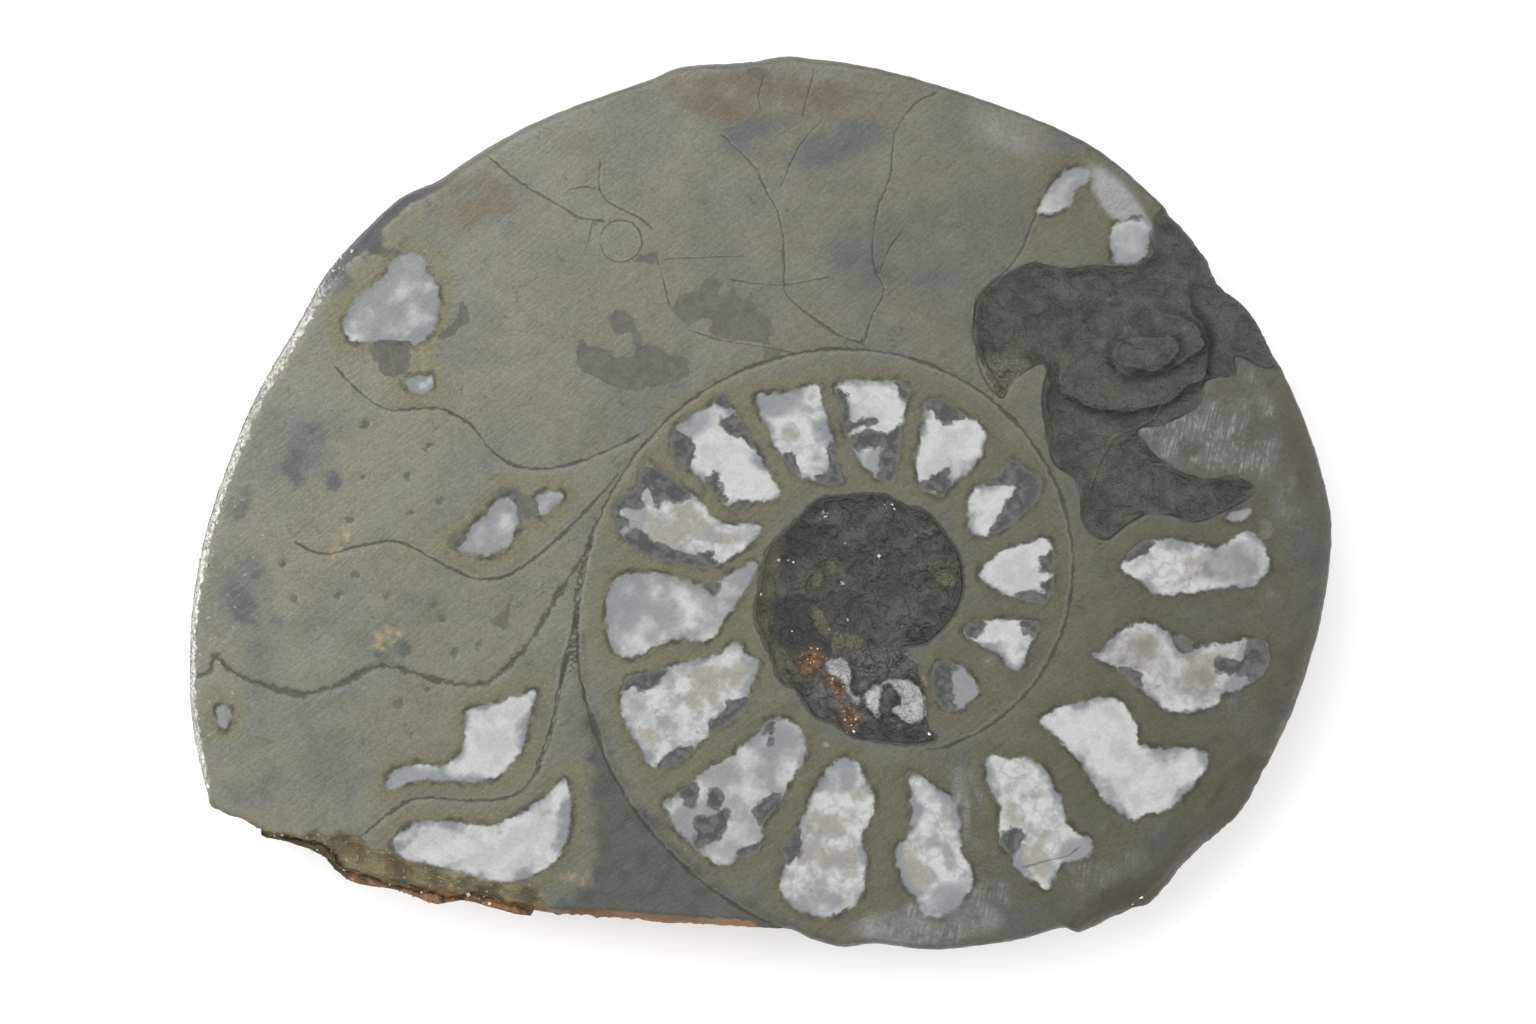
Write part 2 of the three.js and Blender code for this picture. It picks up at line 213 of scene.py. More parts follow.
         (-6.7, -34.2), (-8.4, -32.7), (-9.4, -30.7), (-9.7, -30), (-8.6, -29.4), (-7.1, -28.1),
         (-5.6, -26.7), (-3.6, -25.8), (-1.7, -24.2), (0, -22.7)],
    ],
}

# Dark inclusions in and beside the calcite
INCLUSIONS = [
    [(-39, 15.7), (-37.3, 16), (-35.3, 15.9), (-35.3, 13.3), (-36.4, 12.6), (-37.9, 12.9), (-38.6, 14.4)],
    [(17.2, -18.6), (17.2, -16.9), (18, -16), (19.1, -16.3), (19.2, -18.2), (19.2, -20.4), (18.3, -20.4),
     (17.7, -19.3)],
    [(20.6, -12.6), (21.7, -11.8), (22.4, -12.6), (21.1, -13.2)],
    [(26.1, -12.1), (27.6, -12.1), (27.4, -13), (26.7, -12.8), (26.3, -13.4), (26.1, -12.8)],
    [(27.9, -5.5), (29.1, -5.1), (29.2, -6.3), (28.7, -7), (27.9, -6.7)],
    [(27.9, -8), (29.1, -7.8), (28.9, -8.6), (27.9, -8.6)],
    [(25.8, -9.1), (26.8, -8.8), (28.1, -9), (28.5, -9.9), (27.1, -9.8)],
    [(22.7, 2), (24.1, 2.9), (25.2, 4.1), (26.2, 3.1), (27.8, 2.3), (27.4, 0.6), (26, -1.1), (24.3, -2.5),
     (23.1, -2.8), (23.7, -1.5), (24.3, -0.2), (25, 1), (25.3, 1.7), (23.7, 1.8)],
    [(16.9, 9.8), (17.4, 10.1), (18.9, 9.6), (20.1, 8.7), (19.3, 8.1), (18.3, 7.9), (17.4, 8.6)],
    [(18.1, 3.3), (18.9, 3.9), (18.5, 1.8), (18.1, 0.8), (17.4, 1.4), (16, 1.5), (16.6, 2.1), (17, 2.9)],
    [(8.4, 7.9), (9.7, 8.3), (11.8, 8.6), (11.6, 7.9), (10.1, 7.7), (8.6, 7.3)],
    [(9.2, 6.7), (10.7, 7.3), (12.6, 7), (13.9, 7.4), (13.7, 5.6), (13.6, 4.4), (13.2, 2.9), (12.4, 2.2),
     (11.8, 3.9), (12, 5), (12.4, 5.6), (10.7, 5.4), (9.5, 5.8)],
    [(13.7, 11.9), (14.7, 12), (14.5, 10.6), (13.9, 10.6), (13.6, 11.3)],
    [(7.8, 11.1), (8.4, 11.3), (8.8, 8.6), (8.4, 8.1), (8, 9.6)],
    [(2.5, 4.8), (3.2, 5.2), (3.6, 4.1), (3.4, 3.1), (2.8, 3.9)],
    [(5.5, 3.1), (6.7, 2.9), (7.8, 3.1), (7.9, 2.1), (6.3, 2.3)],
    [(6.7, 5.6), (7.3, 5.6), (7.5, 3.9), (6.9, 3.3), (6.7, 4.4)],
    [(-4.2, 8.3), (-2.9, 8.6), (-1.7, 7.3), (-0.8, 6), (-1.7, 6.4), (-3.3, 6.9)],
    [(-8.6, 7.1), (-6.9, 6.4), (-6.5, 4.8), (-7.1, 3.9), (-8.2, 3.1), (-8.8, 4.8)],
    [(-5.2, 2.1), (-4.8, 3.3), (-4.2, 2.9), (-4, 1.8), (-3.5, 0.4), (-4.2, 1)],
    [(-2.9, -0.2), (-2.1, 0.4), (-1.2, 0), (-1.4, -0.5), (-2.3, -0.7)],
    [(-4.4, 10.6), (-3.6, 10.8), (-3.3, 9.8), (-4.2, 9.6)],
    [(-11.9, 3.1), (-10.2, 3.1), (-8.6, 1.8), (-7.5, 0.8), (-7.9, 0), (-9, 0.2), (-9.8, 1), (-10, -0.5),
     (-10.5, -0.7), (-10.9, 0.4), (-11.3, 1.4), (-12.4, 1.4)],
    [(-14.7, 0), (-13.8, 0.8), (-12.4, 1.2), (-11.7, -0.3), (-12.1, -0.7), (-13.4, -0.5), (-14.4, -0.7)],
    [(-14.6, -1.5), (-13.4, -1.3), (-12.8, -1.7), (-13.6, -2.3), (-14.4, -2.5)],
    [(-12.8, -2.6), (-11.7, -2.8), (-10.2, -4), (-8.2, -4.7), (-6.7, -5.3), (-5.4, -4.7), (-4.8, -4.9),
     (-4.8, -6.1), (-6.3, -6.4), (-8.2, -5.9), (-10.5, -5.1), (-12.3, -4.7), (-13.4, -3.8)],
    [(-5.5, -8.4), (-4.2, -8.4), (-4.4, -9), (-5, -9.4), (-5.4, -9)],
    [(-13.4, -17.7), (-12.4, -17.4), (-10.9, -16.9), (-9.8, -17), (-10.2, -17.9), (-10.7, -18.5),
     (-11.9, -18.8), (-12.6, -18.4), (-13.4, -18.5)],
    [(-3.3, -19.8), (-1.7, -19.6), (-1.4, -20.2), (-2.3, -21.4), (-3.6, -22.1), (-4.8, -22.9),
     (-5.2, -22.1), (-4.8, -21.6), (-3.8, -20.8)],
    [(-9.4, -25), (-7.5, -24.2), (-7.1, -24.8), (-8.2, -25.6), (-9.4, -26.5), (-10.2, -26.3)],
    [(-7.7, -29), (-7.1, -28.3), (-6.2, -28.4), (-6.3, -29.6), (-6.9, -30.6), (-7.7, -29.8)],
    [(-5.4, -29.2), (-4.6, -28.5), (-3.7, -29.4), (-4, -30.4), (-4.8, -30.6), (-5.4, -30)],
    [(-6.5, -31.3), (-4.8, -31.3), (-3.6, -30.4), (-3.3, -30.7), (-3.3, -32.3), (-4.8, -34), (-6.3, -34),
     (-6.7, -33)],
    [(-0.8, -30.6), (0.2, -29.6), (1.5, -29), (1.5, -30), (0.2, -31.7), (-0.4, -31.7)],
    [(-2.3, -34.8), (-1.2, -34.4), (-0.1, -34.3), (-1, -35.1), (-2.1, -35.4)],
    [(0.6, -23.1), (1.1, -22.1), (1.3, -23.5), (0.9, -24.4), (0.6, -23.9)],
    [(2.1, -33.4), (3.6, -32.8), (4.2, -34.6), (3.2, -35.7), (2.1, -35.5)],
    [(24.3, -33.4), (25.2, -32.3), (26.3, -33), (26.1, -34.3), (25, -34.9)],
    [(41.5, -13.4), (42.4, -13.4), (43.1, -13.9), (42.8, -14.6), (42, -14.7), (41.6, -14.1)],
    [(45.1, -15.7), (46.3, -15.4), (47.8, -15.6), (48.5, -14.8), (49.2, -13.8), (50.4, -14.1),
     (50.6, -15.9), (49.9, -17.3), (48.6, -17.3), (47.8, -17.2), (46.5, -17.3), (45.6, -16.8)],
    [(35.8, -16.8), (37.9, -16.9), (38.1, -17.3), (37.6, -18.4), (36.7, -17.9)],
    [(36.7, -5.4), (37.6, -4.3), (38.5, -4), (39, -4.3), (38.6, -5.2), (37.8, -5.6)],
    [(49.9, -2), (50.3, -1.5), (51, -2), (51, -3.2), (50.1, -3.4), (49.8, -2.5)],
    [(-18.3, 16.2), (-16.9, 15.8), (-15.1, 15.2), (-14.2, 14.5), (-12.7, 14.8), (-12.6, 15.8), (-13, 16.9),
     (-14.8, 17.1), (-15, 19.2), (-13.7, 19.3), (-12.8, 18.5), (-11.9, 16), (-10, 15.5), (-9.1, 14.7),
     (-7.7, 14.7), (-7, 13), (-8.2, 12.3), (-10.5, 11.6), (-13.2, 11.3), (-16.5, 12.4), (-18.3, 13.8)],
    [(-8.9, 19.6), (-7.7, 20.9), (-6.1, 21.3), (-5.9, 22.4), (-5, 22.5), (-3.8, 22), (-4.3, 21),
     (-3.1, 20.8), (-3, 22), (-2.2, 20.6), (-0.8, 20.1), (-0.2, 19), (1, 18.5), (1.2, 17.1), (1, 16),
     (2.4, 15.3), (0.3, 14.4), (0.3, 15.8), (-1.8, 16.2), (-5, 16.7), (-5, 18.3), (-6.4, 18.2),
     (-7.3, 17.8), (-8.2, 18.7)],
    [(-27, 0.6), (-25.8, 1.6), (-24.2, 1.3), (-22.9, 0.2), (-22.6, -1), (-23.6, -1.8), (-24.1, -0.4),
     (-25.2, 0.7)],
    [(-31.4, -3.6), (-30.4, -2.8), (-29.8, -3.6), (-30.8, -4.3)],
    [(-30.1, 20.2), (-29.2, 19.5), (-29.3, 18.2), (-30.3, 17.1), (-31.8, 16.3), (-32.5, 16.7),
     (-31.3, 17.7), (-30.3, 18.7)],
    [(-1.5, 43.6), (0.4, 43.4), (0.5, 42.6), (-0.4, 42.4), (-1.2, 42.8)],
    [(-27.8, -11.4), (-26.2, -11.3), (-25.2, -9.6), (-24.7, -8.9), (-25.2, -11.2), (-25.6, -12.7),
     (-26.8, -12)],
    [(-13, 23.9), (-12.1, 24.8), (-10.7, 25.1), (-10.1, 24), (-10.3, 23.8), (-12.3, 24.1)],
]

# The matrix at the right, the plug in the coil's middle and the dark wedge between the last two whorls
RIGHT_MATRIX = [
    (21.1, 17.9), (21.5, 20.4), (23.3, 22.3), (25.9, 23.6), (27.3, 24.3), (28.4, 23.9), (30.5, 23.5),
    (33, 23.8), (37.6, 23.9), (39.2, 25), (38.7, 26.6), (39.7, 29.1), (41.4, 30.8), (45.4, 26.8),
    (47.4, 21.3), (51.4, 16.3), (53.9, 11.8), (52.2, 13.4), (50.4, 13.4), (47.5, 14.6), (47.5, 12.8),
    (44.5, 12.1), (43.9, 9.9), (42.6, 8.9), (40.6, 7.9), (37.7, 7.2), (38.3, 6.2), (40.6, 3.9), (44.7, 2.5),
    (47.1, 2.7), (49.2, 1.9), (49.4, 0.9), (47, -0.6), (43.5, -2), (41.3, -1.4), (39.2, -1.1), (36.7, -2.2),
    (34.4, -3.8), (31.9, -1.7), (31.8, 1.7), (29.2, 4), (28.5, 6.8), (28, 10.3), (28.3, 13.8), (25.4, 12.2),
    (24.1, 10.3), (22.4, 12.9), (21.2, 16.8),
]
PLUG = [
    (5.9, 0.4), (8.8, 0.7), (12.2, 0.8), (14.3, -0.3), (16.4, -0.9), (18.1, -2.8), (19.7, -5.1),
    (20.2, -7.4), (20.1, -9.3), (19.3, -11.2), (18, -12.8), (16.3, -14.1), (14.1, -14.5), (14.4, -15.6),
    (15.4, -16.5), (16.1, -18.2), (16.5, -20.4), (16.5, -22.5), (17.6, -23.6), (14.6, -24.1), (12.4, -23.8),
    (9.4, -23.4), (7.4, -22.1), (5.3, -21.2), (3.6, -18.7), (1.9, -17.7), (1.1, -15.4), (0.2, -13.5),
    (-0.6, -11.2), (-0.2, -8.6), (0.2, -6.3), (0.9, -4.4), (2.5, -2.8), (4.8, -0.5),
]
WEDGE = [
    (-18, -13.7), (-17.1, -19.7), (-16.2, -21.8), (-15.1, -25.4), (-13, -29), (-10.1, -32.2), (-8, -34.7),
    (-5.1, -37.2), (-1.5, -39.7), (3.4, -42.2), (-0.1, -42.7), (-9.4, -42.3), (-20.1, -41.7),
    (-20.1, -39.7), (-17.2, -38.2), (-16.7, -34), (-16.9, -26.8), (-17.8, -21.7),
]

# Ledges in the matrix at the right, each inside the one before
LEDGE_HEIGHTS = (0.42, 0.2, 0.13)
LEDGES = {
    "whorl": [(30.3, 11.1), (32.8, 9.7), (34.9, 9.2), (36.5, 9), (39, 9.5), (40.2, 9.9), (43.2, 11.9),
              (44.3, 12.7), (44.8, 14.8), (44.6, 17.6), (43.2, 19.3), (42.6, 22.1), (39, 22.7),
              (36.1, 21.5), (33, 18.9), (30.6, 16), (29.8, 13)],
    "inner whorl": [(36.9, 12.7), (40.2, 13.2), (42.6, 14.2), (44.4, 15.8), (43.9, 17.2), (41.8, 18.9),
                    (39, 18.9), (36.1, 17.2), (34.9, 15.2), (35.3, 13.6)],
    "oval": [(35.3, 14.2), (35.2, 15.2), (35.9, 16.4), (37.7, 16.5), (40.2, 16.7), (41.6, 16.2),
             (41.8, 15.2), (41, 14), (39, 13.2), (37.3, 13.4)],
}

# Lines on the face, each as its half width and its corners: sutures, gaps along a whorl, and cracks
SUTURES = [
    (0.17, [(-42.3, 13.3), (-41.1, 12), (-38.5, 9.8), (-37, 9.3), (-33.7, 9.5), (-32, 9.4), (-30.6, 8.8),
            (-28.9, 7.7), (-26.4, 4.7), (-23.6, 3.5), (-19.7, 3.7), (-16, 5), (-12.1, 6.8)]),
    (0.17, [(-46.3, -4.1), (-45.2, -4.7), (-43.5, -5.1), (-40.1, -4.3), (-36.8, -3.8), (-35.1, -4.3),
            (-31.7, -6.2), (-28.4, -7.6), (-26.7, -7.6), (-25, -7.1), (-21.6, -4.7), (-18.2, -1.5),
            (-14.2, 2.9)]),
    (0.34, [(-56.5, -17.3), (-55.1, -16.9), (-54.7, -15.3), (-52.8, -16.9), (-49.4, -18.3), (-46, -19.1),
            (-42.4, -18.2), (-39, -16.5), (-37, -16.3), (-33.1, -17.5), (-28.6, -18.2), (-26.7, -17.5),
            (-23.3, -14.1), (-20.8, -9.9), (-18, -5.7)]),
    (0.2, [(-39.8, -33.2), (-37, -30.9), (-35.2, -29.8), (-33.2, -29.5), (-28.8, -29.8), (-25.2, -29.4),
           (-23.5, -28.4), (-21.7, -25.1), (-20.5, -21.3), (-19.7, -16.1), (-18.6, -11.7)]),
]
WHORL_GAPS = [
    (0.2, [(-16.3, -1), (-16.9, -2.7), (-18.4, -8.2), (-18.8, -13), (-20.2, -18.6), (-21.3, -23.3),
           (-22.2, -25.7)]),
]
CRACKS = [
    (0.15, [(-17.1, -4.2), (-18.1, -9.7), (-18.4, -15.8), (-17.7, -19.1), (-16.3, -22.8), (-15.7, -25.3)]),
    (0.13, [(-3.8, 36.7), (-0.5, 33.4), (0.2, 31.7), (1.8, 28.7), (2.3, 23.7), (2.3, 21.4), (3.5, 19.8),
            (5.8, 18.1), (8.1, 16.6), (10.1, 16)]),
    (0.1, [(5.3, 43.3), (4.1, 38.8)]),
    (0.1, [(6, 38.2), (3.8, 35.7), (2, 31.7)]),
    (0.12, [(17.4, 41), (15.4, 40), (13.3, 36.7), (12.9, 32.7), (11.4, 28.7), (11.3, 23.4), (12.3, 21.4),
            (11.1, 18.8), (10.3, 16.1)]),
    (0.14, [(30, 33.2), (28.3, 31), (27.3, 28.4), (25.4, 24.2), (23.4, 22.3), (21.7, 20.4), (21.2, 18.1),
            (21.4, 15.8), (22, 13.1), (23.2, 11.1)]),
    (0.14, [(-27.1, 34.5), (-24.3, 32.2), (-20, 29.7), (-18.3, 28.6), (-16, 28.2)]),
    (0.12, [(-16.1, 34), (-16.2, 31.7), (-15.6, 30.4), (-14, 29.4), (-12, 28.4), (-11.1, 27.6)]),
    (0.1, [(-19, 31.4), (-17.6, 31.6), (-16.2, 31.2)]),
    (0.09, [(-16.9, 28.2), (-17.1, 26.7), (-17.6, 25.1)]),
    (0.1, [(-10.3, 24.4), (-9.8, 22.4), (-9.2, 19.8)]),
    (0.09, [(14.2, 27.4), (12.8, 25.4), (12, 23.4)]),
    (0.09, [(-3, 22.3), (1.8, 21.8), (6.8, 22.6)]),
    (0.08, [(-9.5, 24.4), (-1.8, 24.7)]),
    (0.1, [(-7.1, 17.3), (-4.1, 16.3), (0.4, 15.6), (2.9, 15.1)]),
    (0.12, [(26.3, -36.4), (28.5, -35.8), (30.6, -35.3), (31.7, -34.5)]),
    (0.13, [(33.2, 1.7), (33.9, 3.6), (34.7, 5.2), (35.7, 6.6), (38.1, 7.6), (39.2, 8.2), (40, 9.1),
            (40.2, 9.9)]),
    (0.1, [(0.2, 42.4), (-0.3, 40.8), (-0.1, 39.5)]),
]

# Round marks: x, y and radius
CIRCLE_LINE = (-14.0, 26.2, 2.1)
CIRCLE_HALF_WIDTH = 0.1
SEAM_HALF_WIDTH = 0.19
PITS = [
    (-39.7, 7.9, 0.5), (-33.3, 5.7, 0.45), (-35.5, 2.6, 0.3), (-35.6, 2.1, 0.35), (-39.9, 2.5, 0.35),
    (-41.1, -1.6, 0.4), (-32.1, 0.2, 0.35), (-35.1, -1.2, 0.3), (-47.7, -6.1, 0.45), (-50.4, -7.2, 0.35),
    (-40.6, -7.1, 0.35), (-42.2, -9.3, 0.45), (-46.7, -9.6, 0.35), (-44.8, -12.5, 0.4), (-37.5, -9.3, 0.35),
    (-30.7, -14.9, 0.5), (-28.2, -14.1, 0.4), (-32.7, -10.2, 0.4), (-31.8, -11.6, 0.4),
    (-33.4, -18.6, 0.45), (-36.2, -20.1, 0.5), (-34.9, -23.2, 0.4), (-31.4, -5.2, 0.3), (-22.4, -6.1, 0.35),
]

# Marks in the plug: its hollows, darkened with painted shade, beads of pyrite and rusty ground
HOLLOWS = [
    [(2.2, -3.5), (3.5, -2.7), (5.8, -2.1), (6.55, -3.2), (5.5, -5), (3.5, -6.2), (2.2, -5.9)],
    [(1.4, -10.2), (3.2, -9.7), (4.65, -10.2), (5.2, -11.7), (6, -13.2), (7.1, -14), (7, -14.8),
     (4.65, -14.8), (2.9, -14.6), (1.4, -14), (0.9, -12.3)],
    [(9.5, -22), (11.5, -22.4), (14.5, -22.5), (16.4, -23), (14.6, -23.8), (11.8, -23.5)],
]
BEADS = [
    [(5.5, -6.6), (6.1, -7), (6, -8.2), (5.4, -8.5), (5.1, -7.8)],
    [(6.55, -5.6), (7.3, -5.9), (7.6, -6.7), (7.1, -7.3), (6.7, -6.45)],
    [(5.2, -10.4), (6.1, -10.8), (6.7, -12), (7, -13.2), (6.1, -13.2), (5.4, -12)],
    [(7.4, -13), (8.45, -13), (10.2, -13.6), (9.9, -14.6), (8.4, -14.3), (7.4, -15.2), (7.1, -14.3)],
    [(17.2, -6.7), (18.9, -7), (19.5, -7.8), (18.9, -8.35), (17.8, -7.9)],
]
IRON = [
    [(4.1, -14.9), (5.2, -14.5), (6.3, -14.9), (6.1, -16.4), (4.9, -17.2), (3.8, -16.7)],
    [(6.1, -17.1), (7.6, -17.2), (8.4, -18.7), (7.9, -19.9), (6.7, -18.1)],
    [(7.6, -19.9), (8.7, -20.2), (9.9, -20.7), (10.2, -21.6), (9.3, -22.8), (8.45, -21.9)],
]

# Bands along the lower edge: brown crust at the left, an orange strip, and the smooth chip at the right
CRUST = [
    (-55.2, -30.4), (-53.1, -31.2), (-51.1, -31.9), (-49.5, -32.6), (-47.3, -32.9), (-45.9, -33.3),
    (-44.9, -32.5), (-43.3, -33.3), (-42.3, -32.9), (-39.7, -33.5), (-39.5, -34.3), (-37.1, -34.7),
    (-35.5, -35.7), (-33.1, -36.3), (-30.7, -37.3), (-28.1, -37.8), (-25.1, -37.9), (-23.6, -38.1),
    (-22.1, -39), (-21.6, -39.9), (-20.6, -40.6), (-26, -42.5), (-34, -41.5), (-41, -40), (-44, -38),
    (-48, -36), (-52, -34), (-56, -32),
]
STRIP = [
    (-41.1, -37.9), (-39, -38.6), (-36.3, -39), (-33.6, -38.8), (-31, -38.8), (-30, -39.4), (-27, -40),
    (-24, -40.3), (-20.5, -40.6), (-17, -40.5), (-14, -40.9), (-6.1, -41.5), (-0.6, -42.1), (-0.6, -43.2),
    (-6, -43.8), (-14, -43.4), (-24, -43), (-32, -41.8), (-38, -40.7), (-41.5, -39.4),
]
CHIP = [
    (30.5, -42.5), (32.5, -40), (35.5, -38.2), (38.9, -36.7), (41.9, -33.7), (44.9, -29.9), (47.4, -26.5),
    (50.5, -25), (52, -28), (50, -31.5), (46, -36), (42, -40), (36, -43.5), (31, -44.5),
]

# Stains and bloom on the polished face, as ellipses: x, y, half length, half width, turn, strength
BROWN = [
    (-0.1, 40.3, 14, 3.4, -4, 0.75), (-28.5, 30.6, 6, 3.4, 25, 0.85), (-38.1, -12.7, 4, 2.5, 0, 0.4),
    (53.8, 5.3, 1.6, 7, 8, 0.6), (30, 31, 5, 3, -40, 0.3), (51.8, -18, 2, 5, -20, 0.5),
    (46.5, -6, 4.5, 2.4, 0, 0.7), (41, -16.5, 8, 4, -15, 0.6),
]
# The gold ellipses are brassy streaks, and in the plug small spots of painted glint
GOLD_AND_GLINTS = [
    (-41.9, -3.7, 2.6, 0.9, 58, 0.5), (-33.5, 14.5, 3, 4, 0, 0.3), (-37.5, -13.5, 2.5, 1.5, 30, 0.45),
    (3.2, -6.2, 0.5, 1.1, -15, 0.9), (3.8, -8.5, 0.6, 0.4, 0, 0.7), (0.4, -9.4, 0.8, 0.4, 0, 0.9),
    (6.4, -1.2, 0.8, 0.4, 20, 0.8), (12.5, -0.6, 1, 0.5, 0, 0.8), (18.6, -5.3, 0.5, 0.5, 0, 0.8),
    (15.7, -2.9, 0.5, 0.9, 0, 0.6), (15.4, -10.2, 0.25, 1.6, 0, 0.6), (16, -17.8, 0.9, 0.6, -30, 0.8),
    (17.5, -23.6, 0.7, 0.5, 0, 0.8), (23, -15.8, 0.5, 0.8, 30, 0.7), (6.4, -24.2, 0.5, 0.4, 0, 0.7),
    (-17.9, -37.8, 3, 1, -10, 0.5), (-29, -37.4, 4, 1.2, -8, 0.6),
]
SLATE = [
    (3.9, 36.3, 13, 3.2, 0, 0.6), (12.9, 27.3, 10, 9, 0, 0.45), (-31, -8.7, 8, 4, 0, 0.45),
    (-43, -25.7, 8, 4, 0, 0.35), (-50, -28, 5, 4, 0, 0.5), (-43, 8, 6, 5, 0, 0.3),
    (-51.5, -10, 4, 14, 8, 0.4), (-20, 24, 6, 5, 0, 0.25),
]
FROST = [
    (44.5, 6.5, 8.5, 4, -18, 0.95), (49.8, 9, 2, 5, 15, 0.6), (53, -1, 2, 6, 10, 0.35),
    (16.9, -42, 7, 2.4, 0, 0.8), (22.9, -39.5, 3.5, 4, 0, 0.5), (33.9, -36.5, 6, 2.5, 20, 0.35),
    (20.9, -30, 2, 5, 10, 0.5), (50.9, -9.7, 3, 8, 0, 0.25), (47.5, -19, 4, 5, -30, 0.25),
    (38, -31.5, 6, 3, 30, 0.3),
]
SMUDGE = [
    (-45.7, 5.2, 2.5, 4.5, -15, 0.7), (-43.5, 2.2, 2, 1.5, 0, 0.7), (-52.2, 0.2, 1.6, 2.5, 0, 0.5),
    (-51.8, -10.2, 1.8, 2, 0, 0.8), (-49.5, -11.8, 2.5, 1.2, -20, 0.7), (-53.5, -7, 2, 3, 0, 0.5),
    (-37, -14.8, 2.4, 1.3, 15, 0.9),
]
VEIL = [
    (-27, -2.3, 5, 4, 45, 0.4), (-21, 0, 2, 2, 0, 0.5), (-36.5, 19.5, 6, 5, 60, 0.5),
    (-35.5, -27.8, 4.5, 1.8, 0, 1), (30.3, 31, 3.6, 2.2, 50, 0.4), (37, 26, 2.8, 2.8, 0, 0.55),
    (20.3, -18, 2, 3, 0, 0.9), (-13.5, -9.5, 3, 4, 0, 0.7), (-1.5, -6.8, 2.6, 1.8, 35, 0.9),
    (-7, -32.5, 3.5, 3, 0, 0.7), (1, -23.5, 3, 2.4, 45, 0.6), (8, -27, 2, 2.6, 0, 0.8),
    (6, -40, 3, 1.8, 0, 0.5), (18.5, -39.5, 2.2, 1.8, 0, 0.6), (47, -6, 4, 3, 0, 0.5),
    (49.5, -15, 2.5, 2, 0, 0.8), (31.5, -35, 2.5, 1.8, 0, 0.7), (-7, 8, 3, 2, 30, 0.6),
    (1.5, 10, 3, 1.8, 0, 0.7), (12, 4, 2, 2, 0, 0.8), (-13, -1.5, 2, 3, 0, 0.6), (-13, -20, 2, 2.4, 0, 0.5),
]
# Smooth pale bloom, the bubbly part of the plug, and where the matrix at the right thins out
MIST = [
    (24.9, 37.3, 5.2, 2.8, -20, 0.42), (35.9, 30, 5.4, 1.8, -50, 0.95), (13.9, -42.5, 6, 2.2, 0, 0.55),
    (21, -41.5, 4, 2.4, 0, 0.45), (20, -30, 1.2, 5, 5, 0.45),
]
BUBBLES = [(12.4, -16.2, 4.2, 2, -8, 1)]
FADE = [(24.4, 12.4, 3.6, 2.8, 0, 1)]
# The same on the worn edge round the face
# The silver ellipses mark the silvery left bevel, where a painted highlight and sparkle lie
SILVER_AND_HIGHLIGHT = [(-54.5, -7, 20, 5, 80, 1), (-47, 17, 10, 4, 60, 0.9), (-56.5, -24, 5, 3, 90, 0.9)]
EARTH = [(-48.1, -34.2, 9, 3, -27, 1), (-34, -38.5, 8, 3, -8, 0.9), (41.4, -37.2, 12, 3, 52, 0.6),
         (52, -24, 8, 3, 65, 0.4)]
SOOT = [(-38.6, 27, 10, 3, 42, 1)]
# Painted shade: the polished pyrite's colour darkens along this direction, over this span in millimetres,
# standing in for the light falling off towards the lower right
PAINTED_SHADE_DIRECTION = (0.9, -0.45)
PAINTED_SHADE_SPAN = (-40, 56)

# How far below the polished face the softer parts lie
SUNK = {"calcite": 0.04, "inclusion": 0.07, "pit": 0.22, "wedge": 0.12, "matrix": 0.75, "plug": 0.5,
        "crust": 0.5, "chip": 0.8, "groove": 0.12}
# How deep the roughness is, and where the edge is rougher still: x, y, half length, half width, turn, depth
ROUGHNESS = {"plug": 0.5, "matrix": 0.25, "crust": 0.5, "edge": 0.12, "broken edge": 0.5, "flank": 0.3}
ROUGH_EDGE = [(-30, -38.5, 30, 4, -11, 1.0), (43, -34, 15, 3.5, 50, 0.5)]


def smoothstep(value, low, high):
    """0 below low, 1 above high and an even curve between them."""
    share = np.clip((value - low) / (high - low), 0, 1)
    return share * share * (3 - 2 * share)


def mixed(first, second, share):
    """The value at a share of the way from the first to the second."""
    return first + (second - first) * share


def smooth_curve(corners, closed, steps=4):
    """Points of a centripetal Catmull-Rom curve through the corners."""
    points = np.array(corners, float)
    if closed:
        before, start, end, after = (np.roll(points, shift, 0) for shift in (1, 0, -1, -2))
    else:
        padded = np.vstack([2 * points[0] - points[1], points, 2 * points[-1] - points[-2]])
        before, start, end, after = padded[:-3], padded[1:-2], padded[2:-1], padded[3:]
    spans = [np.sqrt(np.linalg.norm(b - a, axis=1))[:, None]
             for a, b in ((before, start), (start, end), (end, after))]
    leaving = spans[1] * ((start - before) / spans[0] - (end - before) / (spans[0] + spans[1])
                          + (end - start) / spans[1])
    arriving = spans[1] * ((end - start) / spans[1] - (after - start) / (spans[1] + spans[2])
                           + (after - end) / spans[2])
    t = (np.arange(steps) / steps)[None, :, None]
    start, end, leaving, arriving = (part[:, None, :] for part in (start, end, leaving, arriving))
    curve = (start * (2 * t**3 - 3 * t**2 + 1) + leaving * (t**3 - 2 * t**2 + t)
             + end * (3 * t**2 - 2 * t**3) + arriving * (t**3 - t**2)).reshape(-1, 2)
    return curve if closed else np.vstack([curve, points[-1]])


def polar(points):
    """Each point's radius and angle about the coil's centre."""
    away = points - COIL_CENTRE
    return np.hypot(away[:, 0], away[:, 1]), np.degrees(np.arctan2(away[:, 1], away[:, 0])) % 360


def from_polar(radius, angle):
    """Points at those radii and angles about the coil's centre."""
    turn = np.radians(angle)
    return COIL_CENTRE + np.stack([np.cos(turn), np.sin(turn)], -1) * np.asarray(radius)[..., None]


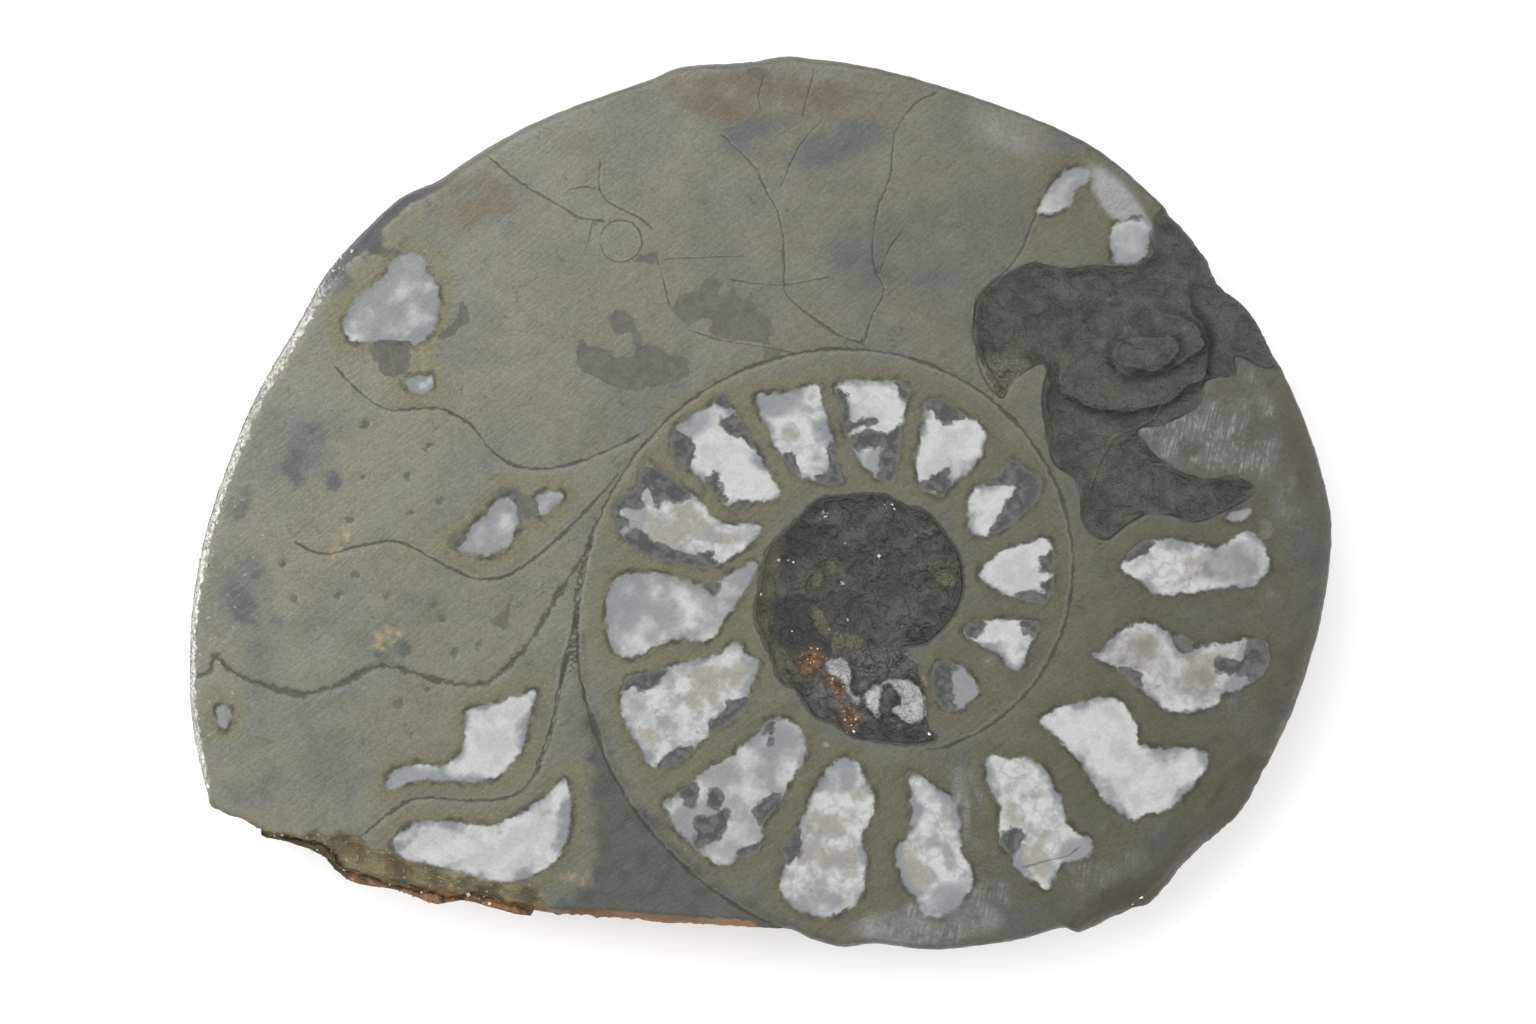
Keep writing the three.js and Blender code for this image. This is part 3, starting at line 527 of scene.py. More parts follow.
RIM_CURVE = smooth_curve(RIM, closed=True, steps=24)
RIM_RADII, RIM_ANGLES = polar(RIM_CURVE)


def rim_radius(angle):
    """The rim's radius about the coil's centre."""
    return np.interp(angle, RIM_ANGLES, RIM_RADII, period=360) - RIM_INSET


def bevel_width(angle):
    """How far the face stops short of the rim."""
    return np.interp(angle, *zip(*BEVEL), period=360)


def spiral_radius(coil_angle):
    """The spiral's radius at a coil angle, which is below 0 on the inner whorls."""
    return OUTER_RADIUS * GROWTH_PER_TURN ** (coil_angle / 360)


def crest_depth(coil_angle):
    """How far below the face a whorl's flank reaches at its crest."""
    own = np.maximum(coil_angle, MOUTH_ANGLE - 360)
    depth = CREST_DEPTH * (spiral_radius(own) / REFERENCE_RADIUS) ** WIDTH_GROWTH
    return depth * (spiral_radius(coil_angle) / spiral_radius(own))


def flank_shape(across):
    """The rounded section of a flank: 0 at its seam and its outer edge, 1 at its crest."""
    share = np.clip(across, 0, 1)
    inner = (1 - (np.clip(CREST - share, 0, 1) / CREST) ** INNER_ROUNDING) ** (1 / INNER_ROUNDING)
    outer = (1 - (np.clip(share - CREST, 0, 1) / (1 - CREST)) ** OUTER_ROUNDING) ** (1 / OUTER_ROUNDING)
    return np.where(share < CREST, inner, outer)


def whorl_depth(radius, angle, coil_angle, edge_radius, edge_depth):
    """The depth of one whorl's flank without its ribs, and how far across the flank each point is."""
    seam = SEAM_SHARE * spiral_radius(coil_angle)
    across = (radius - seam) / (edge_radius - seam)
    tilt = (SAW_TILT[0] * np.cos(np.radians(angle)) + SAW_TILT[1] * np.sin(np.radians(angle))) * radius
    crest = crest_depth(coil_angle) + tilt
    depth = edge_depth + (crest - edge_depth) * flank_shape(across)
    return np.where(across > 0, depth, 0), np.clip(across, 0, 1)


def back_surface(points):
    """The depth of the natural back, with the size and the place of the rib at each point."""
    radius, angle = polar(points)
    rim = rim_radius(angle)
    edge_depth = bevel_width(angle) * BEVEL_SLOPE
    coil_angle = np.where(angle < MOUTH_ANGLE, angle, angle - 360)
    broken = smoothstep(coil_angle, BREAK_START, BREAK_START + BREAK_FADE[0])
    broken *= 1 - smoothstep(coil_angle, MOUTH_ANGLE - BREAK_FADE[1], MOUTH_ANGLE)
    edge = mixed(rim, np.maximum(rim, spiral_radius(coil_angle)), broken)
    depth, across = whorl_depth(radius, angle, coil_angle, edge, edge_depth)
    rib = edge / REFERENCE_RADIUS
    slope = BREAK_SLOPE * (1 + BREAK_LUMPS[1] * np.sin(np.radians(angle * BREAK_LUMPS[0])))
    wall = edge_depth + (rim - radius) * slope
    rib = np.where((wall < depth) & (broken > 0.5), 0, rib)
    depth = mixed(depth, np.minimum(depth, wall), broken)
    shown = 1 - smoothstep(coil_angle, MOUTH_ANGLE - MOUTH_FADE, MOUTH_ANGLE)
    depth, rib = depth * shown, rib * shown
    fill = FILL_DEPTH * (1 - smoothstep(radius, FILL_RADIUS, FILL_RADIUS + FILL_FADE))
    rib = np.where(fill > depth, 0, rib)
    depth = np.maximum(depth, fill)
    for turns in range(1, INNER_WHORLS + 1):
        inner = coil_angle - 360 * turns
        older, older_across = whorl_depth(radius, angle, inner, spiral_radius(inner), 0)
        higher = older > depth
        depth = np.where(higher, older, depth)
        across = np.where(higher, older_across, across)
        rib = np.where(higher, spiral_radius(inner) / REFERENCE_RADIUS, rib)
    depth = np.clip(depth, edge_depth, THICKNESS)
    return depth, rib * np.sin(np.pi * across) ** RIB_FADE, across


def disc_grid(cells):
    """A square grid bent into a disc: each vertex's share of the radius, its direction, and the indices."""
    line = np.linspace(-1, 1, cells + 1)
    across, up = np.meshgrid(line, line)
    wide = np.abs(across) > np.abs(up)
    share = np.where(wide, across, up)
    other = np.where(wide, up, across)
    ratio = np.divide(other, share, out=np.zeros_like(share), where=share != 0)
    direction = np.where(wide, 45 * ratio, 90 - 45 * ratio) + np.where(share < 0, 180, 0)
    index = np.arange((cells + 1) ** 2).reshape(cells + 1, cells + 1)
    return np.abs(share).ravel(), direction.ravel() % 360, index


def grid_edge(index):
    """The grid's outer vertices, anticlockwise from the lower right corner."""
    return np.concatenate([index[:-1, -1], index[-1, :0:-1], index[:0:-1, 0], index[0, :-1]])


def grid_faces(index, upwards):
    """The grid's quads."""
    quads = np.stack([index[:-1, :-1], index[:-1, 1:], index[1:, 1:], index[1:, :-1]], -1).reshape(-1, 4)
    return quads if upwards else quads[:, ::-1]


def band_faces(inner, outer):
    """The quads between two rings of vertices."""
    return np.stack([inner, outer, np.roll(outer, -1), np.roll(inner, -1)], -1)


def halving_faces(ring, coarse):
    """The triangles between a ring and one of half as many vertices."""
    even, odd, following = ring[::2], ring[1::2], np.roll(ring[::2], -1)
    beyond = np.roll(coarse, -1)
    return np.concatenate([np.stack(rows, -1) for rows in
                           ((even, coarse, odd), (odd, coarse, beyond), (odd, beyond, following))])


def face_angle(direction):
    """The angle about the coil's centre of the face's edge in a direction from the outline's middle."""
    angle = polar(RIM_CURVE)[1]
    edge = from_polar(rim_radius(angle) - bevel_width(angle), angle)
    seen = np.degrees(np.arctan2(edge[:, 1], edge[:, 0]))
    ahead = (angle - seen + 180) % 360 - 180
    return direction + np.interp(direction, seen % 360, ahead, period=360)


def stone_surface():
    """The stone's vertices, its faces, and how many vertices belong to its polished face and bevel."""
    share, direction, index = disc_grid(FACE_CELLS)
    angle = face_angle(direction)
    face = from_polar(rim_radius(angle) - bevel_width(angle), angle) * share[:, None]
    ring = grid_edge(index)
    faces = [grid_faces(index, upwards=True)]
    vertices = [np.column_stack([face, np.full(len(face), THICKNESS)])]
    count = len(face)

    ring_angle = angle[ring]
    rim, bevel = rim_radius(ring_angle), bevel_width(ring_angle)
    for step in range(1, BEVEL_RINGS + 1):
        out = step / BEVEL_RINGS
        drop = bevel * BEVEL_SLOPE * (1 - (1 - out**BEVEL_ROUNDING) ** (1 / BEVEL_ROUNDING))
        place = from_polar(rim - bevel * (1 - out), ring_angle)
        vertices.append(np.column_stack([place, THICKNESS - drop]))
        following = np.arange(count, count + len(ring))
        faces.append(band_faces(ring, following))
        ring, count = following, count + len(ring)
    polished, polished_faces = count, sum(len(rows) for rows in faces)

    for step in range(1, WALL_RINGS):
        inset = WALL_INSET * (step / WALL_RINGS) ** WALL_CROWDING
        place = from_polar(rim - inset, ring_angle)
        vertices.append(np.column_stack([place, THICKNESS - back_surface(place)[0]]))
        following = np.arange(count, count + len(ring))
        faces.append(band_faces(ring, following))
        ring, count = following, count + len(ring)

    share, direction, index = disc_grid(FACE_CELLS // 2)
    angle = face_angle(direction)
    back = from_polar(rim_radius(angle) - WALL_INSET, angle) * share[:, None]
    vertices.append(np.column_stack([back, THICKNESS - back_surface(back)[0]]))
    index = index + count
    faces.append(halving_faces(ring, grid_edge(index)))
    faces.append(grid_faces(index, upwards=False))
    return np.vstack(vertices), faces, polished, polished_faces


def to_line(points, line):
    """Each point's distance to a polyline, and the side of it that the point is on."""
    start, along = line[:-1], np.diff(line, axis=0)
    away = points[:, None] - start[None]
    share = np.clip((away * along).sum(-1) / (along**2).sum(-1), 0, 1)
    offset = away - share[..., None] * along
    distance = np.hypot(offset[..., 0], offset[..., 1])
    row, nearest = np.arange(len(points)), distance.argmin(1)
    side = along[nearest, 0] * away[row, nearest, 1] - along[nearest, 1] * away[row, nearest, 0]
    return distance[row, nearest], np.sign(side)


def is_inside(points, loop):
    """Whether each point is inside a closed loop."""
    x, y = points[:, :1], points[:, 1:]
    (start_x, start_y), (end_x, end_y) = loop.T, np.roll(loop, -1, 0).T
    crossing = (start_y > y) != (end_y > y)
    rise = np.where(end_y == start_y, 1, end_y - start_y)
    return (crossing & (x < start_x + (y - start_y) * (end_x - start_x) / rise)).sum(1) % 2 == 1


def near(points, line, reach):
    """The indices of the points within reach of a line's box."""
    low, high = line.min(0) - reach, line.max(0) + reach
    return np.flatnonzero(((points > low) & (points < high)).all(1))


def depth_inside(points, outlines):
    """How far each point is inside the outlines, negative outside, and never further than FAR."""
    depth = np.full(len(points), -FAR)
    for corners in outlines:
        loop = smooth_curve(corners, closed=True)
        rows = near(points, loop, FAR)
        distance, _ = to_line(points[rows], np.vstack([loop, loop[:1]]))
        depth[rows] = np.maximum(depth[rows], np.where(is_inside(points[rows], loop), distance, -distance))
    return np.clip(depth, -FAR, FAR)


def depth_in_spots(points, spots):
    """The same for round spots."""
    depth = np.full(len(points), -FAR)
    for x, y, radius in spots:
        depth = np.maximum(depth, radius - np.hypot(points[:, 0] - x, points[:, 1] - y))
    return depth


def line_fields(points, lines):
    """The nearest line's side and its distance at each point, both in half widths of that line."""
    side, gap = np.full(len(points), LINE_FAR), np.full(len(points), LINE_FAR)
    for half_width, line in lines:
        rows = near(points, line, LINE_FAR * half_width)
        distance, sign = to_line(points[rows], line)
        ratio = distance / half_width
        closer = ratio < gap[rows]
        gap[rows[closer]] = ratio[closer]
        side[rows[closer]] = (ratio * sign)[closer]
    return side, gap


def stained(points, ellipses):
    """The strength of the strongest ellipse at each point."""
    strength = np.zeros(len(points))
    for x, y, length, width, turn, full in ellipses:
        cos, sin = math.cos(math.radians(turn)), math.sin(math.radians(turn))
        away = points - (x, y)
        along = (away[:, 0] * cos + away[:, 1] * sin) / length
        aside = (away[:, 1] * cos - away[:, 0] * sin) / width
        strength = np.maximum(strength, full * (1 - smoothstep(np.hypot(along, aside), *STAIN_FADE)))
    return strength


def smooth_lines(rows):
    """Rows of a half width and corners, with the corners made a curve."""
    return [(half_width, smooth_curve(corners, closed=False)) for half_width, corners in rows]


def whorl_lines():
    """The seam of the last inner whorl and the gap lines beside it."""
    turn = np.arange(SEAM_TURN[0], SEAM_TURN[1], 3)
    seam = (SEAM_HALF_WIDTH, from_polar(spiral_radius(turn), turn))
    return [seam, *smooth_lines(WHORL_GAPS)]


def cracks():
    """The cracks across the face, with the small ring among them."""
    x, y, radius = CIRCLE_LINE
    turn = np.radians(np.arange(0, 361, 10))
    ring = np.stack([x + radius * np.cos(turn), y + radius * np.sin(turn)], -1)
    return [(CIRCLE_HALF_WIDTH, ring), *smooth_lines(CRACKS)]


def face_fields(points):
    """The fields that the polished face's colour and relief read, by name."""
    tones = {tone: depth_inside(points, outlines) for tone, outlines in CALCITE.items()}
    inclusions = depth_inside(points, INCLUSIONS)
    calcite = np.maximum.reduce(list(tones.values()))
    plug, wedge = depth_inside(points, [PLUG]), depth_inside(points, [WEDGE])
    matrix = depth_inside(points, [RIGHT_MATRIX])
    lines = [line_fields(points, rows) for rows in (smooth_lines(SUTURES), whorl_lines(), cracks())]
    angle = polar(points)[1]
    out = (rim_radius(angle) - polar(points)[0]) / bevel_width(angle)
    columns = {
        "fillings": (calcite, np.maximum(inclusions, depth_in_spots(points, PITS)), matrix),
        "middle": (plug, wedge, 1 - np.clip(out, 0, 1)),
        "tones": (tones["cream"], tones["grey"], depth_inside(points, CALCITE["plug"])),
        "ledges": [depth_inside(points, [corners]) for corners in LEDGES.values()],
        "line_side": [side for side, _ in lines],
        "line_gap": [gap for _, gap in lines],
        "stains": [stained(points, rows) for rows in (BROWN, GOLD_AND_GLINTS, SLATE)],
        "blooms": [stained(points, rows) for rows in (FROST, SMUDGE, VEIL)],
        "plug_marks": [depth_inside(points, outlines) for outlines in (HOLLOWS, BEADS, IRON)],
        "bands": [depth_inside(points, [corners]) for corners in (CRUST, STRIP, CHIP)],
        "worn": [stained(points, rows) for rows in (SILVER_AND_HIGHLIGHT, EARTH, SOOT)],
        "hazes": [stained(points, rows) for rows in (MIST, BUBBLES, FADE)],
    }
    return {name: np.stack(rows, -1) for name, rows in columns.items()}


def face_relief(points, fields):
    """How far the polished face lies below its level at each point."""
    calcite, inclusions, matrix = fields["fillings"].T
    plug, wedge, _ = fields["middle"].T
    pits = depth_in_spots(points, PITS)
    relief = SUNK["calcite"] * smoothstep(calcite, 0, 0.5)
    relief += SUNK["inclusion"] * smoothstep(inclusions, 0, 0.5)
    relief += SUNK["pit"] * smoothstep(pits, -0.1, 0.4) + SUNK["wedge"] * smoothstep(wedge, 0, 2)
    ledge = sum(height * smoothstep(depth, -0.2, 0.4)
                for height, depth in zip(LEDGE_HEIGHTS, fields["ledges"].T))
    relief += np.maximum(SUNK["matrix"] * smoothstep(matrix, 0, 1.2) - ledge, 0)
    level_calcite = 1 - 0.8 * smoothstep(calcite, -0.4, 0.4)
    relief += SUNK["plug"] * smoothstep(plug, 0, 0.7) * level_calcite
    crust, _, chip = fields["bands"].T
    relief += SUNK["crust"] * smoothstep(crust, 0, 1.5) + SUNK["chip"] * smoothstep(chip, 0.3, 2.5)
    grooves = SUNK["groove"] * (1 - smoothstep(np.abs(fields["line_side"][:, :2]), 0.2, 1.6))
    relief += grooves.max(1) * (fields["line_gap"][:, :2].min(1) < 2)
    return relief


def roughness_depth(points, fields, polished):
    """How deep the stone is roughened at each vertex, in millimetres."""
    broken = stained(points, ROUGH_EDGE)
    plug, _, bevel = fields["middle"].T
    matrix, crust = fields["fillings"][:, 2], fields["bands"][:, 0]
    edge = ROUGHNESS["edge"] + ROUGHNESS["broken edge"] * broken
    face = ROUGHNESS["plug"] * smoothstep(plug, 0.1, 0.8) + ROUGHNESS["matrix"] * smoothstep(matrix, 0.2, 1.5)
    face += ROUGHNESS["crust"] * smoothstep(crust, 0, 0.8) + edge * smoothstep(bevel, 0, 0.6)
    return np.where(np.arange(len(points)) < polished, face, ROUGHNESS["flank"] + broken)


class Nodes:
    """Adds nodes to a tree, joins them, and hands back the sockets that come out of them."""

    def __init__(self, tree):
        self.tree = tree

    @staticmethod
    def named(sockets, name):
        """The socket in use that has that name or place."""
        if isinstance(name, int):
            return sockets[name]
        return next(socket for socket in sockets if socket.name == name and socket.enabled)

    def put(self, socket, value):
        """Joins an output to the socket, or sets the socket's own value."""
        if isinstance(value, bpy.types.NodeSocket):
            self.tree.links.new(value, socket)
        elif socket.type == "RGBA":
            socket.default_value = (*value, 1)
        else:
            socket.default_value = value

    def add(self, kind, inputs=None, **settings):
        """A new node with its settings and inputs."""
        node = self.tree.nodes.new(kind)
        for name, value in settings.items():
            setattr(node, name, value)
        for name, value in (inputs or {}).items():
            self.put(self.named(node.inputs, name), value)
        return node

    def math(self, operation, *values):
        """The result of a math node."""
        return self.add("ShaderNodeMath", dict(enumerate(values)), operation=operation).outputs[0]

    def folded(self, operation, values):
        """The result of one operation after another."""
        total = values[0]
        for value in values[1:]:
            total = self.math(operation, total, value)
        return total

    def times(self, *values):
        """The product of the values."""
        return self.folded("MULTIPLY", values)

    def plus(self, *values):
        """The sum of the values."""
        return self.folded("ADD", values)

    def most(self, *values):
        """The largest of the values."""
        return self.folded("MAXIMUM", values)

    def less(self, first, second):
        """The first value less the second."""
        return self.math("SUBTRACT", first, second)

    def size(self, value):
        """The value without its sign."""
        return self.math("ABSOLUTE", value)

    def vector(self, operation, *values):
        """The result of a vector math node."""
        return self.add("ShaderNodeVectorMath", dict(enumerate(values)), operation=operation).outputs[0]

    def scaled(self, vector, factor):
        """The vector times a number."""
        inputs = {0: vector, "Scale": factor}
        return self.add("ShaderNodeVectorMath", inputs, operation="SCALE").outputs[0]

    def split(self, vector):
        """The vector's three parts."""
        return self.add("ShaderNodeSeparateXYZ", {0: vector}).outputs

    def joined(self, x, y, z):
        """A vector of three parts."""
        return self.add("ShaderNodeCombineXYZ", {0: x, 1: y, 2: z}).outputs[0]

    def step(self, value, low, high):
        """0 below low, 1 above high and an even curve between them."""
        inputs = {"Value": value, "From Min": low, "From Max": high}
        return self.add("ShaderNodeMapRange", inputs, interpolation_type="SMOOTHSTEP").outputs[0]

    def span(self, value, low, high):
        """0 to 1 stretched to the range from low to high."""
        return self.add("ShaderNodeMapRange", {"Value": value, "To Min": low, "To Max": high}).outputs[0]

    def mix(self, share, first, second):
        """A colour at a share of the way from the first to the second."""
        inputs = {0: share, 6: first, 7: second}
        return self.add("ShaderNodeMix", inputs, data_type="RGBA").outputs[2]

    def noise(self, place, size, detail=3, seed=0):
        """Noise of 0 to 1 whose features have about that size."""
        shift = self.joined(0, 0, self.math("MULTIPLY", seed, 57))
        inputs = {"Vector": self.vector("ADD", place, shift), "Scale": self.math("DIVIDE", 1, size),
                  "Detail": detail}
        return self.add("ShaderNodeTexNoise", inputs).outputs[0]

    def field(self, name):
        """The parts of one of the surface's stored fields."""
        attribute = self.add("ShaderNodeAttribute", attribute_name=name)
        return self.split(attribute.outputs["Vector"])

    def group(self, name, inputs):
        """The outputs of a shared group with those inputs."""
        return self.add("ShaderNodeGroup", inputs, node_tree=bpy.data.node_groups[name]).outputs


def new_group(name, kind, inputs, outputs):
    """A node group with its sockets: its nodes, and what it is given and gives."""
    tree = bpy.data.node_groups.new(name, kind)
    for title, socket_kind, value in inputs:
        socket = tree.interface.new_socket(title, in_out="INPUT", socket_type=socket_kind)
        if value is not None:
            socket.default_value = value
    for title, socket_kind in outputs:
        tree.interface.new_socket(title, in_out="OUTPUT", socket_type=socket_kind)
    nodes = Nodes(tree)
    return nodes, nodes.add("NodeGroupInput").outputs, nodes.add("NodeGroupOutput").inputs


FLOAT, VECTOR, COLOUR, GEOMETRY, WHOLE = (
    "NodeSocketFloat", "NodeSocketVector", "NodeSocketColor", "NodeSocketGeometry", "NodeSocketInt")


def grain_group():
    """Clouds, mottles and fine grain of a mineral."""
    inputs = [("Place", VECTOR, None), ("Cloud size", FLOAT, 9), ("Mottle size", FLOAT, 2),
              ("Grain size", FLOAT, 0.3), ("Seed", FLOAT, 0)]
    outputs = [("Cloud", FLOAT), ("Mottle", FLOAT), ("Grain", FLOAT)]
    nodes, given, result = new_group("mineral grain", "ShaderNodeTree", inputs, outputs)
    for name, detail in (("Cloud", 3), ("Mottle", 4), ("Grain", 2)):
        value = nodes.noise(given["Place"], given[f"{name} size"], detail, given["Seed"])
        nodes.put(result[name], nodes.step(value, 0.3, 0.7))


def patch_group():
    """A filling's ragged outline, from the depth inside it."""
    inputs = [("Noise", FLOAT, 0.5), ("Depth", FLOAT, 0), ("Softness", FLOAT, 0.1),
              ("Raggedness", FLOAT, 0.2)]
    outputs = [("Inside", FLOAT), ("Depth", FLOAT), ("Edge", FLOAT)]
    nodes, given, result = new_group("ragged patch", "ShaderNodeTree", inputs, outputs)
    shift = nodes.less(given["Noise"], 0.5)
    depth = nodes.plus(given["Depth"], nodes.times(shift, given["Raggedness"], 4))
    outside = nodes.times(given["Softness"], -1)
    width = nodes.times(given["Softness"], 3)
    nodes.put(result["Inside"], nodes.step(depth, outside, given["Softness"]))
    nodes.put(result["Depth"], depth)
    nodes.put(result["Edge"], nodes.step(nodes.size(nodes.plus(depth, given["Softness"])), width, 0))


def stain_group():
    """A stain of uneven strength over a colour."""
    inputs = [("Place", VECTOR, None), ("Colour", COLOUR, None), ("Stain", COLOUR, None),
              ("Strength", FLOAT, 0), ("Feature size", FLOAT, 1.5), ("Seed", FLOAT, 0)]
    outputs = [("Colour", COLOUR), ("Mask", FLOAT)]
    nodes, given, result = new_group("uneven stain", "ShaderNodeTree", inputs, outputs)
    noise = nodes.less(nodes.noise(given["Place"], given["Feature size"], 4, given["Seed"]), 0.5)
    uneven = nodes.math("MULTIPLY_ADD", noise, 4.5, 0.8)
    mask = nodes.step(nodes.times(given["Strength"], uneven), 0.1, 0.9)
    nodes.put(result["Mask"], mask)
    nodes.put(result["Colour"], nodes.mix(mask, given["Colour"], given["Stain"]))


def line_group():
    """A thin line, from the side of it and the distance to it in half widths, with a painted highlight along
    one side of it.
    """
    inputs = [("Side", FLOAT, 9), ("Gap", FLOAT, 9), ("Waver", FLOAT, 0.5), ("Thickness", FLOAT, 1)]
    outputs = [("Line", FLOAT), ("Lip", FLOAT)]
    nodes, given, result = new_group("thin line", "ShaderNodeTree", inputs, outputs)
    side = nodes.plus(given["Side"], nodes.math("MULTIPLY_ADD", given["Waver"], 3, -1.5))
    near_it = nodes.step(given["Gap"], 3.6, 2.6)
    outer = nodes.plus(given["Thickness"], 0.5)
    line = nodes.step(nodes.size(side), outer, nodes.less(given["Thickness"], 0.5))
    highlight_lip = nodes.step(nodes.size(nodes.less(side, nodes.plus(given["Thickness"], 1.2))), 1.2, 0)
    nodes.put(result["Line"], nodes.times(line, near_it))
    nodes.put(result["Lip"], nodes.times(highlight_lip, near_it))


def glint_group():
    """Scattered bright grains."""
    inputs = [("Place", VECTOR, None), ("Size", FLOAT, 0.3), ("Share", FLOAT, 0.1)]
    outputs = [("Mask", FLOAT), ("Tone", FLOAT)]
    nodes, given, result = new_group("glints", "ShaderNodeTree", inputs, outputs)
    scale = nodes.math("DIVIDE", 1, given["Size"])
    cells = nodes.add("ShaderNodeTexVoronoi", {"Vector": given["Place"], "Scale": scale}).outputs
    chance, tone, _ = nodes.split(cells["Color"])
    chosen = nodes.math("GREATER_THAN", chance, nodes.less(1, given["Share"]))
    nodes.put(result["Mask"], nodes.times(chosen, nodes.step(cells["Distance"], 0.6, 0.3)))
    nodes.put(result["Tone"], tone)


def crack_group():
    """A network of fine cracks round lumps of uneven size."""
    inputs = [("Place", VECTOR, None), ("Lump size", FLOAT, 3), ("Width", FLOAT, 0.06)]
    outputs = [("Crack", FLOAT), ("Lump", FLOAT)]
    nodes, given, result = new_group("crack network", "ShaderNodeTree", inputs, outputs)
    across = nodes.less(nodes.noise(given["Place"], given["Lump size"], 3, 31), 0.5)
    up = nodes.less(nodes.noise(given["Place"], given["Lump size"], 3, 32), 0.5)
    shift = nodes.scaled(nodes.joined(across, up, 0), nodes.times(given["Lump size"], 2.2))
    inputs = {"Vector": nodes.vector("ADD", given["Place"], shift),
              "Scale": nodes.math("DIVIDE", 1, given["Lump size"])}
    edge = nodes.add("ShaderNodeTexVoronoi", inputs, feature="DISTANCE_TO_EDGE").outputs["Distance"]
    nodes.put(result["Crack"], nodes.step(edge, given["Width"], 0))
    nodes.put(result["Lump"], nodes.step(edge, 0, 0.3))


def brush_group():
    """Fine streaks across a polished face, along a direction."""
    inputs = [("Place", VECTOR, None), ("Direction", VECTOR, (0, 0, 0)), ("Size", FLOAT, 0.3),
              ("Seed", FLOAT, 0)]
    nodes, given, result = new_group("brushed streaks", "ShaderNodeTree", inputs, [("Streak", FLOAT)])
    inputs = {"Vector": given["Place"], "Rotation": given["Direction"], "Scale": (9, 1, 1)}
    turned = nodes.add("ShaderNodeMapping", inputs, vector_type="TEXTURE").outputs[0]
    nodes.put(result["Streak"], nodes.step(nodes.noise(turned, given["Size"], 3, given["Seed"]), 0.3, 0.7))


def shared_groups():
    """Every shader group, made once."""
    for build in (grain_group, patch_group, stain_group, line_group, glint_group, crack_group, brush_group):
        build()


def new_material(name):
    """A material with its nodes, its shader, and the place on the surface in millimetres."""
    material = bpy.data.materials.new(name)
    material.use_nodes = True
    nodes = Nodes(material.node_tree)
    shader = material.node_tree.nodes["Principled BSDF"]
    place = nodes.scaled(nodes.add("ShaderNodeTexCoord").outputs["Object"], 1 / MM)
    return material, nodes, shader, place


def put_bump(nodes, shader, height, strength=1.0):
    """Bumps the surface by a height in millimetres."""
    inputs = {"Height": height, "Distance": MM, "Strength": strength}
    nodes.put(shader.inputs["Normal"], nodes.add("ShaderNodeBump", inputs).outputs[0])


